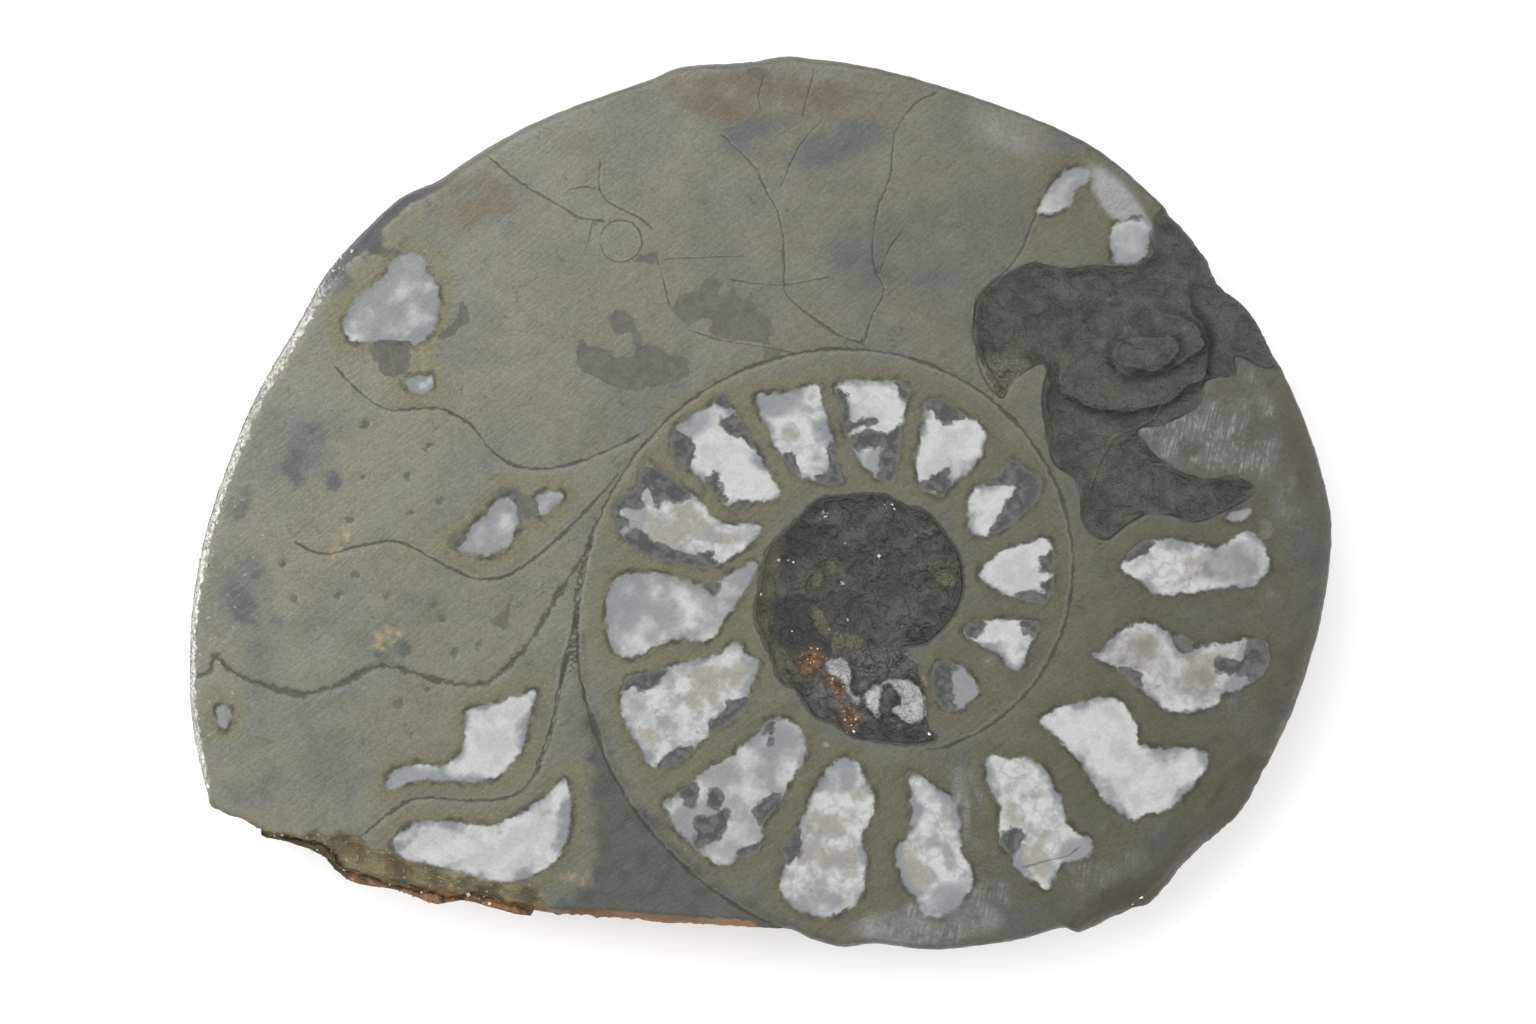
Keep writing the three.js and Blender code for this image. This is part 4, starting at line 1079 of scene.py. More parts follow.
class FaceMaterial:
    """Lays the minerals of the sawn face over each other, and keeps what the later layers need."""

    def __init__(self, colours):
        self.material, self.nodes, self.shader, self.place = new_material("polished face")
        self.colours = colours
        nodes, place = self.nodes, self.place
        self.x, self.y, _ = nodes.split(place)
        self.calcite_depth, self.spot_depth, self.matrix_depth = nodes.field("fillings")
        self.plug_depth, self.wedge_depth, self.bevel = nodes.field("middle")
        self.brown, self.gold_and_glint, self.slate = nodes.field("stains")
        self.frost, self.smudge, self.veil = nodes.field("blooms")
        self.silver_and_highlight, self.earth, self.soot = nodes.field("worn")
        self.hollow_depth, self.bead_depth, self.iron_depth = nodes.field("plug_marks")
        self.crust_depth, self.strip_depth, self.chip_depth = nodes.field("bands")
        self.mist, self.bubbles, self.fade = nodes.field("hazes")
        sizes = {"Place": place, "Cloud size": 8, "Mottle size": 2.2, "Grain size": 0.26}
        self.grain = nodes.group("mineral grain", sizes)
        self.fine_rag, self.coarse_rag = nodes.noise(place, 0.85, 4), nodes.noise(place, 1.8, 4)
        self.streaks = self.brushed(38, 0.32, 2)
        self.cross_streaks = self.brushed(-12, 0.25, 3)
        self.colour = None

    def brushed(self, degrees, size, seed):
        """Fine streaks that run at an angle to the X axis."""
        turn = (0, 0, math.radians(degrees))
        inputs = {"Place": self.place, "Direction": turn, "Size": size, "Seed": seed}
        return self.nodes.group("brushed streaks", inputs)["Streak"]

    def blend(self, share, tint, strength=None):
        """Lays a tint over the colour so far, at full strength or thinly."""
        if strength is not None:
            share = self.nodes.times(share, strength)
        self.colour = self.nodes.mix(share, self.colour, tint)

    def patch(self, depth, softness, raggedness, noise=None):
        """A filling whose outline is finely ragged, unless it is given another noise."""
        inputs = {"Noise": noise or self.fine_rag, "Depth": depth, "Softness": softness,
                  "Raggedness": raggedness}
        return self.nodes.group("ragged patch", inputs)

    def stain(self, tint, strength, size, seed):
        """Lays an uneven stain over the colour so far and gives its mask."""
        inputs = {"Place": self.place, "Colour": self.colour, "Stain": tint, "Strength": strength,
                  "Feature size": size, "Seed": seed}
        stained_colour = self.nodes.group("uneven stain", inputs)
        self.colour = stained_colour["Colour"]
        return stained_colour["Mask"]

    def glints(self, size, share):
        """Bright grains on a share of the surface."""
        return self.nodes.group("glints", {"Place": self.place, "Size": size, "Share": share})

    def lay_pyrite(self):
        """Pyrite with warm and cool clouds, and brassy walls round the chambers with painted gold glints on
        them.
        """
        nodes, colours = self.nodes, self.colours
        warm = nodes.times(self.grain["Cloud"], 0.6)
        self.colour = nodes.mix(warm, colours.pyrite, colours.pyrite_warm)
        cool = nodes.step(nodes.noise(self.place, 9, 4, 7), 0.44, 0.66)
        self.blend(cool, colours.pyrite_cool, 0.75)
        brassy = nodes.step(nodes.noise(self.place, 2.6, 4, 8), 0.45, 0.75)
        self.blend(brassy, colours.chamber_wall, 0.35)
        thin = nodes.step(nodes.size(nodes.less(nodes.noise(self.place, 3, 4, 27), 0.5)), 0.012, 0.002)
        sparse = nodes.step(nodes.noise(self.place, 2.4, 2, 28), 0.52, 0.62)
        self.blend(nodes.times(thin, sparse), colours.line, 0.35)
        wall = nodes.step(self.calcite_depth, -2.9, -0.6)
        self.blend(wall, colours.chamber_wall, 0.75)
        # Painted glints: bright gold grains near the chamber walls
        specks = self.glints(0.26, 0.12)
        share = nodes.times(specks["Mask"], nodes.span(wall, 0.1, 0.4), specks["Tone"])
        self.blend(share, colours.gold_and_glint)

    def lay_stains(self):
        """The wide bands and clouds of the outer whorl, then painted shade that darkens the colour towards
        the lower right.
        """
        nodes, colours = self.nodes, self.colours
        for tint, strength, size, seed in (
            (colours.slate, self.slate, 6, 1), (colours.brown, self.brown, 4, 2),
            (colours.smudge, self.smudge, 2.4, 3), (colours.gold_and_glint, self.gold_and_glint, 0.9, 4),
        ):
            self.stain(tint, strength, size, seed)
        # Painted shade: the colour is scaled down from the upper left towards the lower right
        across = nodes.math("MULTIPLY_ADD", self.y, PAINTED_SHADE_DIRECTION[1], nodes.times(self.x, PAINTED_SHADE_DIRECTION[0]))
        inputs = {"Value": across, "From Min": PAINTED_SHADE_SPAN[0], "From Max": PAINTED_SHADE_SPAN[1], "To Min": 1,
                  "To Max": colours.painted_light_kept}
        self.colour = nodes.scaled(self.colour, nodes.add("ShaderNodeMapRange", inputs).outputs[0])

    def lay_wedge(self):
        """The dark stone between the last two whorls."""
        nodes = self.nodes
        wedge = self.patch(self.wedge_depth, 0.8, 0.7, self.coarse_rag)["Inside"]
        mottle = nodes.step(self.coarse_rag, 0.4, 0.75)
        self.blend(wedge, nodes.mix(nodes.times(mottle, 0.6), self.colours.wedge, self.colours.matrix))

    def lay_matrix(self):
        """The dark matrix at the right, with its ledges, painted shadows below and right of them, and painted
        highlights along their lips.
        """
        nodes, colours = self.nodes, self.colours
        right = self.patch(self.matrix_depth, 0.14, 0.3, self.coarse_rag)
        self.matrix = nodes.times(right["Inside"], nodes.less(1, nodes.step(self.fade, 0.1, 0.9)))
        lumps = nodes.step(self.coarse_rag, 0.34, 0.66)
        stone = nodes.mix(lumps, colours.matrix, colours.matrix_light)
        bluish = nodes.times(nodes.step(self.x, 40, 50), nodes.step(self.y, 4, 14), 0.6)
        stone = nodes.mix(bluish, stone, colours.matrix_blue)
        # Painted shadow: a dark band just outside each ledge, strongest on the lower right side, away from
        # the light
        lower_right = nodes.less(nodes.times(nodes.less(self.x, 38), 0.7), nodes.less(self.y, 15.5))
        shaded_side = nodes.span(nodes.step(lower_right, -4, 4), 0.2, 1)
        for ledge in nodes.field("ledges"):
            ledge = nodes.math("MULTIPLY_ADD", nodes.less(lumps, 0.5), 0.3, ledge)
            shadow = nodes.times(nodes.step(ledge, -1.1, -0.1), nodes.step(ledge, 0.12, -0.05))
            stone = nodes.mix(nodes.times(shadow, shaded_side), stone, colours.crack_shade)
            # Painted highlight: a lighter band along the lip of each ledge
            highlight_lip = nodes.step(nodes.size(nodes.less(ledge, 0.2)), 0.16, 0.04)
            stone = nodes.mix(nodes.times(highlight_lip, self.grain["Mottle"], 0.35), stone, colours.pale_matrix_and_highlight)
        self.blend(self.matrix, stone)
        # Painted shade: a dark line along the sunk matrix's edge
        self.blend(nodes.times(right["Edge"], self.matrix), colours.crack_shade, 0.8)

    def lay_plug(self):
        """The lumpy plug in the middle of the coil, with its cracks, hollows, beads and bubbles; the dark of
        its cracks, its hollows and its edge is painted shade.
        """
        nodes, colours = self.nodes, self.colours
        plug = self.patch(self.plug_depth, 0.1, 0.14)
        self.plug = plug["Inside"]
        self.lumps = nodes.step(nodes.noise(self.place, 2.4, 4, 25), 0.34, 0.66)
        self.blend(self.plug, nodes.mix(self.lumps, colours.matrix, colours.matrix_light))
        pale = nodes.step(self.coarse_rag, 0.4, 0.6)
        pale = nodes.times(pale, nodes.step(self.y, -14, -19))
        self.blend(nodes.times(pale, self.plug), colours.inclusion_light, 0.7)
        self.network = nodes.group("crack network", {"Place": self.place, "Lump size": 3, "Width": 0.05})
        broken = nodes.step(nodes.noise(self.place, 3, 3, 26), 0.4, 0.6)
        # Painted shade: the cracks between the lumps are darkened
        crack_shade = nodes.times(self.network["Crack"], self.plug, nodes.span(broken, 0.15, 0.9))
        self.blend(crack_shade, colours.crack_shade)
        # Painted shade: a dark line along the sunk plug's edge
        self.blend(plug["Edge"], colours.crack_shade, 0.7)
        rim = nodes.times(self.plug, nodes.step(self.plug_depth, 2.2, 0.9), nodes.step(self.x, 5, 1.5))
        self.blend(nodes.times(rim, nodes.span(self.grain["Mottle"], 0.2, 0.85)), colours.bead)
        # Painted shade in the hollows of the plug
        hollow_shade = self.patch(self.hollow_depth, 0.5, 0.5, self.coarse_rag)["Inside"]
        self.blend(hollow_shade, colours.hollow_shade, 0.75)
        bead = self.patch(self.bead_depth, 0.15, 0.15)["Inside"]
        self.blend(bead, colours.bead, 0.75)
        foam = nodes.group("crack network", {"Place": self.place, "Lump size": 1.1, "Width": 0.11})
        bubbly = nodes.times(nodes.step(self.bubbles, 0.3, 0.6), nodes.step(self.plug_depth, -1.2, -0.6))
        self.blend(bubbly, colours.pale_matrix_and_highlight, 0.8)
        # Painted shade in the fine cracks of the bubbly part
        self.blend(nodes.times(bubbly, foam["Crack"]), colours.crack_shade, 0.8)
        self.dark = nodes.most(self.matrix, self.plug)

    def lay_blooms(self):
        """The pale blooms at the right: smooth ones, and frosted ones with fine bright scratches."""
        nodes, colours = self.nodes, self.colours
        drifts = nodes.span(nodes.noise(self.place, 2.4, 4, 6), 0.5, 1.5)
        self.blend(nodes.step(nodes.times(self.mist, drifts), 0.1, 0.95), colours.mist)
        scratches = nodes.step(nodes.noise(self.place, 1.1, 4, 4), 0.36, 0.62)
        scratches = nodes.times(scratches, nodes.step(self.brushed(78, 0.26, 6), 0.2, 0.9))
        bloom = nodes.mix(scratches, colours.frost, colours.frost_light)
        self.frosted = self.stain(bloom, nodes.times(self.frost, nodes.less(1, self.matrix)), 2.4, 5)

    def lay_iron(self):
        """The rusty ground in the plug, with its light grains."""
        nodes, colours = self.nodes, self.colours
        self.rusty = self.patch(self.iron_depth, 0.45, 0.7)["Inside"]
        blotches = nodes.step(self.fine_rag, 0.38, 0.6)
        tint = nodes.mix(blotches, colours.rust, colours.rust_dark)
        # Painted glints: light gold grains in the rust
        grains = self.glints(0.26, 0.25)
        tint = nodes.mix(nodes.times(grains["Mask"], grains["Tone"]), tint, colours.gold_and_glint)
        self.blend(nodes.times(self.rusty, 0.8), tint)

    def lay_calcite(self):
        """The calcite: bluish grey at its edges and veils, white inside, with cream or grey mottles."""
        nodes, colours = self.nodes, self.colours
        calcite = self.patch(self.calcite_depth, 0.2, 0.26)
        uneven = nodes.step(nodes.noise(self.place, 2, 4, 10), 0.4, 0.62)
        self.outline = nodes.times(calcite["Edge"], nodes.span(uneven, 0.08, 0.8))
        self.blend(self.outline, colours.line)
        cream, grey, plug = (nodes.step(part, -0.6, 0.2) for part in nodes.field("tones"))
        cloud = nodes.less(nodes.noise(self.place, 3, 3, 3), 0.5)
        inner = nodes.math("MULTIPLY_ADD", cloud, 6, calcite["Depth"])
        tint = nodes.mix(nodes.step(inner, -0.4, 1.0), colours.calcite_edge, colours.calcite)
        warmth = nodes.step(nodes.noise(self.place, 2.4, 4, 5), 0.42, 0.62)
        warmth = nodes.times(warmth, nodes.step(calcite["Depth"], 0.1, 1.2), nodes.span(cream, 0.35, 0.9))
        tint = nodes.mix(warmth, tint, colours.calcite_cream)
        dull = nodes.step(nodes.noise(self.place, 2.8, 4, 9), 0.3, 0.62)
        tint = nodes.mix(nodes.times(dull, grey, 0.85), tint, colours.calcite_grey)
        wisps = nodes.step(nodes.size(nodes.less(nodes.noise(self.place, 2.4, 4, 11), 0.5)), 0.07, 0)
        tint = nodes.mix(nodes.times(wisps, nodes.span(cream, 0.05, 0.4)), tint, colours.calcite_edge)
        flecks = nodes.step(self.fine_rag, 0.64, 0.74)
        tint = nodes.mix(nodes.times(flecks, nodes.span(cream, 0.15, 0.6)), tint, colours.inclusion_light)
        aged = nodes.step(nodes.times(self.brown, nodes.span(dull, 1.5, 0.6)), 0.15, 0.75)
        tint = nodes.mix(nodes.times(aged, nodes.span(self.lumps, 0.4, 0.95)), tint, colours.calcite_aged)
        tint = nodes.mix(nodes.times(plug, 0.5), tint, colours.calcite)
        veiled = nodes.step(nodes.times(self.veil, nodes.span(dull, 0.75, 1.3)), 0.15, 0.85)
        tint = nodes.mix(nodes.times(veiled, 0.9), tint, colours.lavender)
        self.blend(calcite["Inside"], tint)
        self.calcite = calcite["Inside"]

    def lay_spots(self):
        """The dark inclusions and pits, which reach the calcite's edge where they come near it."""
        nodes, colours = self.nodes, self.colours
        border = nodes.step(self.calcite_depth, 0.8, 0.25)
        border = nodes.times(border, nodes.step(self.calcite_depth, -0.5, 0))
        spots = self.patch(nodes.math("MULTIPLY_ADD", border, 0.4, self.spot_depth),
                           nodes.span(self.calcite, 0.07, 0.2), 0.38)
        tint = nodes.mix(self.calcite, colours.inclusion, colours.inclusion_dark)
        pale = nodes.step(self.fine_rag, 0.44, 0.62)
        pale = nodes.times(pale, nodes.span(self.calcite, 0.25, 0.5))
        tint = nodes.mix(pale, tint, colours.inclusion_light)
        self.spots = spots["Inside"]
        self.blend(self.spots, tint)
        self.calcite = nodes.times(self.calcite, nodes.less(1, self.spots))

    def lay_lines(self):
        """Sutures, whorl seams and cracks, of uneven width, each with a painted highlight along one side."""
        nodes = self.nodes
        waver = nodes.noise(self.place, 0.8, 4, 13)
        thickness = nodes.span(nodes.step(nodes.noise(self.place, 2.4, 4, 17), 0.35, 0.7), 0.35, 1.15)
        sides, gaps = nodes.field("line_side"), nodes.field("line_gap")
        self.lines = []
        for side, gap, strength in zip(sides, gaps, (0.7, 0.75, 0.6)):
            inputs = {"Side": side, "Gap": gap, "Waver": waver, "Thickness": thickness}
            line = nodes.group("thin line", inputs)
            # Painted highlight: a lighter band beside each line
            self.blend(line["Lip"], self.colours.highlight_lip, 0.2)
            self.lines.append(nodes.times(line["Line"], strength))
            self.blend(self.lines[-1], self.colours.line)

    def lay_edge(self):
        """The worn edge: silvery at the left, with a painted highlight and sparkle there, sooty above it, and
        with a dark line at its foot.
        """
        nodes, colours = self.nodes, self.colours
        worn = nodes.plus(self.bevel, nodes.math("MULTIPLY_ADD", self.grain["Mottle"], 0.4, -0.2))
        self.edge = nodes.step(worn, 0.05, 0.45)
        self.blend(self.edge, colours.edge, 0.4)
        sooty = nodes.times(nodes.step(worn, -0.05, 0.2), self.soot)
        self.blend(sooty, colours.soot)
        grains = self.glints(0.3, 0.75)
        jagged = nodes.math("MULTIPLY_ADD", nodes.noise(self.place, 0.7, 4, 18), 1.2, -0.6)
        jagged = nodes.step(nodes.plus(self.bevel, jagged), 0.15, 0.4)
        # Painted highlight: bright silvery sparkle on the left bevel
        self.bright = nodes.times(
            self.silver_and_highlight, jagged, nodes.step(self.bevel, 0.97, 0.8), nodes.span(grains["Tone"], 0.1, 0.95),
            nodes.less(1, nodes.times(sooty, 0.75)))
        self.blend(self.bright, colours.silver_and_highlight)

    def lay_crusts(self):
        """The broken lower edge: a brown crust with bright crumbs, a smooth chip and an orange strip."""
        nodes, colours = self.nodes, self.colours
        crust = self.patch(self.crust_depth, 0.3, 0.35)["Inside"]
        crust = nodes.most(crust, nodes.times(self.earth, self.edge))
        crumbs = self.glints(0.36, 0.35)
        tint = nodes.mix(self.grain["Mottle"], colours.earth, colours.earth_light)
        tint = nodes.mix(nodes.times(crumbs["Mask"], crumbs["Tone"], 0.7), tint, colours.gold_and_glint)
        self.blend(nodes.times(crust, 0.9), tint)
        chip = self.patch(self.chip_depth, 0.6, 0.5, self.coarse_rag)["Inside"]
        self.blend(chip, colours.chip, 0.9)
        strip = self.patch(self.strip_depth, 0.15, 0.2)["Inside"]
        self.blend(strip, nodes.mix(self.grain["Cloud"], colours.strip, colours.rust_dark))
        foot = nodes.step(self.bevel, 0.86, 0.98)
        self.crust = nodes.most(crust, strip)
        self.blend(nodes.times(foot, nodes.span(self.crust, 0.75, 0.2)), colours.outline)

    def finish(self):
        """Joins the layers to the shader."""
        nodes, shader, grain = self.nodes, self.shader, self.grain
        stony = nodes.most(self.dark, self.spots, self.frosted, self.crust)
        brushed = nodes.span(nodes.most(stony, self.calcite), 1, 0.2)
        scratches = nodes.plus(nodes.span(self.streaks, -0.05, 0.04),
                               nodes.span(self.cross_streaks, -0.03, 0.03))
        grained = nodes.plus(nodes.span(grain["Grain"], -0.12, 0.1), nodes.span(grain["Mottle"], -0.06, 0.05))
        calm = nodes.math("MULTIPLY_ADD", self.calcite, -0.5, 1)
        shade = nodes.plus(nodes.times(grained, calm), nodes.times(scratches, brushed), 1)
        nodes.put(shader.inputs["Base Color"], nodes.scaled(self.colour, shade))
        metal = nodes.less(1, nodes.most(stony, self.calcite, self.rusty))
        nodes.put(shader.inputs["Metallic"], nodes.times(metal, 0.35))
        dull = nodes.math("MULTIPLY_ADD", stony, 0.28, 0.42)
        dull = nodes.math("MULTIPLY_ADD", self.calcite, -0.05, dull)
        dull = nodes.math("MULTIPLY_ADD", self.bright, -0.15, dull)
        nodes.put(shader.inputs["Roughness"], nodes.plus(dull, nodes.span(self.streaks, -0.07, 0.07)))
        put_bump(nodes, shader, self.bumps())
        return self.material

    def bumps(self):
        """The height of the fine relief, in millimetres."""
        nodes, grain = self.nodes, self.grain
        plug, matrix, crust = (nodes.step(depth, 0, 0.3)
                               for depth in (self.plug_depth, self.matrix_depth, self.crust_depth))
        lumps = nodes.plus(nodes.times(self.network["Lump"], 0.35), self.lumps)
        height = nodes.plus(nodes.times(plug, lumps), nodes.times(self.streaks, 0.014))
        stony = nodes.most(plug, matrix, crust, self.frost)
        fine = nodes.times(grain["Grain"], nodes.math("MULTIPLY_ADD", stony, 0.1, 0.016))
        rough = nodes.most(plug, nodes.times(matrix, 2.2), nodes.times(self.bevel, 0.7), crust)
        return nodes.plus(height, fine, nodes.times(grain["Mottle"], rough, 0.35))


def polished_face(colours):
    """The sawn face, from its pyrite walls to its worn edge."""
    face = FaceMaterial(colours)
    face.lay_pyrite()
    face.lay_stains()
    face.lay_wedge()
    face.lay_matrix()
    face.lay_plug()
    face.lay_blooms()
    face.lay_iron()
    face.lay_calcite()
    face.lay_spots()
    face.lay_lines()
    face.lay_edge()
    face.lay_crusts()
    return face.finish()


def natural_flank(colours):
    """The ribbed natural outside and the broken mouth: dull pyrite with a brown crust in its hollows."""
    material, nodes, shader, place = new_material("natural flank")
    grain = nodes.group("mineral grain", {"Place": place, "Cloud size": 8, "Mottle size": 1.8,
                                          "Grain size": 0.3, "Seed": 20})
    silver_and_highlight, earth, soot = nodes.field("worn")
    orange = nodes.step(nodes.field("bands")[1], -1.5, 0.5)
    colour = nodes.mix(grain["Cloud"], colours.flank, colours.flank_crust)
    colour = nodes.mix(nodes.times(grain["Mottle"], 0.6), colour, colours.flank_hollow)
    for tint, strength, size, seed in (
        (colours.earth, earth, 2, 21), (colours.strip, orange, 1.5, 22),
        (colours.soot, nodes.times(soot, 0.6), 2, 23),
    ):
        inputs = {"Place": place, "Colour": colour, "Stain": tint, "Strength": strength,
                  "Feature size": size, "Seed": seed}
        colour = nodes.group("uneven stain", inputs)["Colour"]
    # Painted glints: bright silvery grains on the flank below the silvery edge
    glints = nodes.group("glints", {"Place": place, "Size": 0.35, "Share": 0.12})
    bright = nodes.times(glints["Mask"], nodes.span(silver_and_highlight, 0.2, 0.7))
    colour = nodes.mix(bright, colour, colours.silver_and_highlight)
    shade = nodes.span(grain["Grain"], 0.82, 1.16)
    nodes.put(shader.inputs["Base Color"], nodes.scaled(colour, shade))
    nodes.put(shader.inputs["Metallic"], nodes.math("MULTIPLY_ADD", bright, 0.5, 0.15))
    nodes.put(shader.inputs["Roughness"], nodes.math("MULTIPLY_ADD", bright, -0.3, 0.62))
    height = nodes.times(grain["Grain"], 0.07)
    height = nodes.math("MULTIPLY_ADD", grain["Mottle"], 0.2, height)
    put_bump(nodes, shader, height)
    return material


def crystal_faces(colours):
    """The small crystals of pyrite, each with its own brass or silver tone."""
    material, nodes, shader, place = new_material("pyrite crystals")
    grain = nodes.group("mineral grain", {"Place": place, "Cloud size": 6, "Mottle size": 0.7,
                                          "Grain size": 0.1, "Seed": 30})
    colour = nodes.mix(grain["Mottle"], colours.silver_and_highlight, colours.crystal)
    nodes.put(shader.inputs["Base Color"], nodes.scaled(colour, nodes.span(grain["Grain"], 0.85, 1.1)))
    nodes.put(shader.inputs["Roughness"], nodes.span(grain["Cloud"], 0.22, 0.4))
    shader.inputs["Metallic"].default_value = 0.7
    put_bump(nodes, shader, nodes.times(grain["Grain"], 0.01))
    return material


def relief_tree():
    """Geometry nodes that add the ribs, the lumps and the crumb to the stone and give it its materials."""
    inputs = [("Geometry", GEOMETRY, None), ("Coil centre", VECTOR, None), ("Rib count", FLOAT, 30),
              ("Rib height", FLOAT, 0), ("Rib sweep", FLOAT, 0), ("Lump size", FLOAT, 0.002),
              ("Crumb size", FLOAT, 0.001), ("Crumb share", FLOAT, 0.4), ("Top", FLOAT, 0),
              ("Flank material", "NodeSocketMaterial", None), ("Face material", "NodeSocketMaterial", None)]
    nodes, given, result = new_group("stone relief", "GeometryNodeTree", inputs, [("Geometry", GEOMETRY)])
    place = nodes.add("GeometryNodeInputPosition").outputs[0]
    normal = nodes.add("GeometryNodeInputNormal").outputs[0]

    def stored(name):
        """The value stored under a name at each vertex."""
        return nodes.named(nodes.add("GeometryNodeInputNamedAttribute", {"Name": name}).outputs, "Attribute")

    x, y, _ = nodes.split(nodes.vector("SUBTRACT", place, given["Coil centre"]))
    swing = nodes.math("SINE", nodes.times(stored("rib_across"), 2 * math.pi))
    angle = nodes.less(nodes.math("ARCTAN2", y, x), nodes.times(swing, given["Rib sweep"]))
    wave = nodes.math("COSINE", nodes.times(angle, given["Rib count"]))
    rib = nodes.times(wave, stored("rib_size"), given["Rib height"])
    lump = nodes.noise(place, given["Lump size"], 3, 1)
    crumb = nodes.noise(place, given["Crumb size"], 4, 2)
    rough = nodes.math("MULTIPLY_ADD", nodes.less(crumb, lump), given["Crumb share"], lump)
    rough = nodes.times(nodes.step(rough, 0.25, 0.75), stored("roughness"))
    moved = nodes.vector("ADD", place, nodes.scaled(normal, nodes.times(rough, -1)))
    x, y, z = nodes.split(nodes.vector("SUBTRACT", moved, nodes.joined(0, 0, rib)))
    z = nodes.math("MINIMUM", nodes.math("MAXIMUM", z, 0), given["Top"])
    shaped = nodes.add("GeometryNodeSetPosition", {"Geometry": given["Geometry"],
                                                   "Position": nodes.joined(x, y, z)}).outputs[0]
    real = nodes.add("GeometryNodeRealizeInstances", {"Geometry": shaped}).outputs[0]
    flank = nodes.add("GeometryNodeSetMaterial", {"Geometry": real, "Material": given["Flank material"]})
    on_face = nodes.math("GREATER_THAN", stored("polished"), 0.5)
    face = nodes.add("GeometryNodeSetMaterial", {"Geometry": flank.outputs[0], "Selection": on_face,
                                                 "Material": given["Face material"]})
    nodes.put(result["Geometry"], face.outputs[0])
    return nodes.tree


def crystal_tree():
    """Geometry nodes that strew small cubes where the stone's crust field asks for them."""
    inputs = [("Geometry", GEOMETRY, None), ("Density", FLOAT, 1), ("Smallest", FLOAT, 0),
              ("Largest", FLOAT, 0), ("Sunk share", FLOAT, 0.5), ("Seed", WHOLE, 0), ("Top", FLOAT, 0),
              ("Material", "NodeSocketMaterial", None)]
    nodes, given, result = new_group("crystal crust", "GeometryNodeTree", inputs, [("Geometry", GEOMETRY)])
    crust = nodes.add("GeometryNodeInputNamedAttribute", {"Name": "crust"}).outputs
    density = nodes.math("MULTIPLY", nodes.named(crust, "Attribute"), given["Density"])
    spread = nodes.add("GeometryNodeDistributePointsOnFaces", {"Mesh": given["Geometry"], "Density": density,
                                                               "Seed": given["Seed"]}).outputs
    turn = nodes.add("FunctionNodeRandomValue", {1: (2 * math.pi,) * 3, "Seed": 1}, data_type="FLOAT_VECTOR")
    chance = nodes.add("FunctionNodeRandomValue", {"Seed": 2}, data_type="FLOAT").outputs
    share = nodes.math("POWER", nodes.named(chance, "Value"), 2.5)
    size = nodes.math("MULTIPLY_ADD", share, nodes.math("SUBTRACT", given["Largest"], given["Smallest"]),
                      given["Smallest"])
    cube = nodes.add("GeometryNodeMeshCube", {"Size": (1, 1, 1)}).outputs[0]
    depth = nodes.math("MULTIPLY", nodes.math("MULTIPLY", size, given["Sunk share"]), -1)
    sunk = nodes.add("GeometryNodeSetPosition", {"Geometry": spread["Points"],
                                                 "Offset": nodes.scaled(spread["Normal"], depth)}).outputs[0]
    inputs = {"Points": sunk, "Instance": cube, "Rotation": turn.outputs[0],
              "Scale": nodes.joined(size, size, size)}
    grown = nodes.add("GeometryNodeInstanceOnPoints", inputs).outputs[0]
    real = nodes.add("GeometryNodeRealizeInstances", {"Geometry": grown}).outputs[0]
    x, y, z = nodes.split(nodes.add("GeometryNodeInputPosition").outputs[0])
    below = nodes.joined(x, y, nodes.math("MINIMUM", z, given["Top"]))
    flat = nodes.add("GeometryNodeSetPosition", {"Geometry": real, "Position": below}).outputs[0]
    shown = nodes.add("GeometryNodeSetMaterial", {"Geometry": flat, "Material": given["Material"]})
    nodes.put(result["Geometry"], shown.outputs[0])
    return nodes.tree


def mesh_from_nodes(piece, tree, values):
    """Runs a geometry node tree on a piece with those inputs and keeps the result as its plain mesh."""
    modifier = piece.modifiers.new(tree.name, "NODES")
    modifier.node_group = tree
    for item in tree.interface.items_tree:
        if item.in_out == "INPUT" and item.name in values:
            modifier[item.identifier] = values[item.name]
    depsgraph = bpy.context.evaluated_depsgraph_get()
    mesh = bpy.data.meshes.new_from_object(
        piece.evaluated_get(depsgraph), preserve_all_data_layers=True, depsgraph=depsgraph)
    piece.modifiers.clear()
    piece.data = mesh
    mesh.name = piece.name


def new_piece(name, mesh):
    """An object of the scene that shows the mesh."""
    piece = bpy.data.objects.new(name, mesh)
    bpy.context.scene.collection.objects.link(piece)
    return piece


def store(mesh, name, values):
    """Stores a number or a vector at every vertex."""
    kind, part = ("FLOAT", "value") if values.ndim == 1 else ("FLOAT_VECTOR", "vector")
    attribute = mesh.attributes.new(name, kind, "POINT")
    attribute.data.foreach_set(part, values.astype(np.float32).ravel())


def stone_mesh():
    """The stone without its ribs and its roughness, with the fields that its nodes and materials read."""
    vertices, faces, polished, polished_faces = stone_surface()
    points = vertices[:, :2]
    fields = face_fields(points)
    top = np.arange(len(vertices)) < polished
    vertices[:, 2] -= np.where(top, face_relief(points, fields), 0)
    _, rib_size, rib_across = back_surface(points)
    mesh = bpy.data.meshes.new("stone")
    mesh.from_pydata((vertices * MM).tolist(), [], [row for rows in faces for row in rows.tolist()])
    mesh.shade_smooth()
    for name, values in fields.items():
        store(mesh, name, values)
    store(mesh, "rib_size", np.where(top, 0, rib_size))
    store(mesh, "rib_across", rib_across)
    store(mesh, "roughness", roughness_depth(points, fields, polished) * MM)
    store(mesh, "crust", crust_density(points, fields, top))
    on_face = mesh.attributes.new("polished", "FLOAT", "FACE")
    on_face.data.foreach_set("value", (np.arange(len(mesh.polygons)) < polished_faces).astype(np.float32))
    return mesh


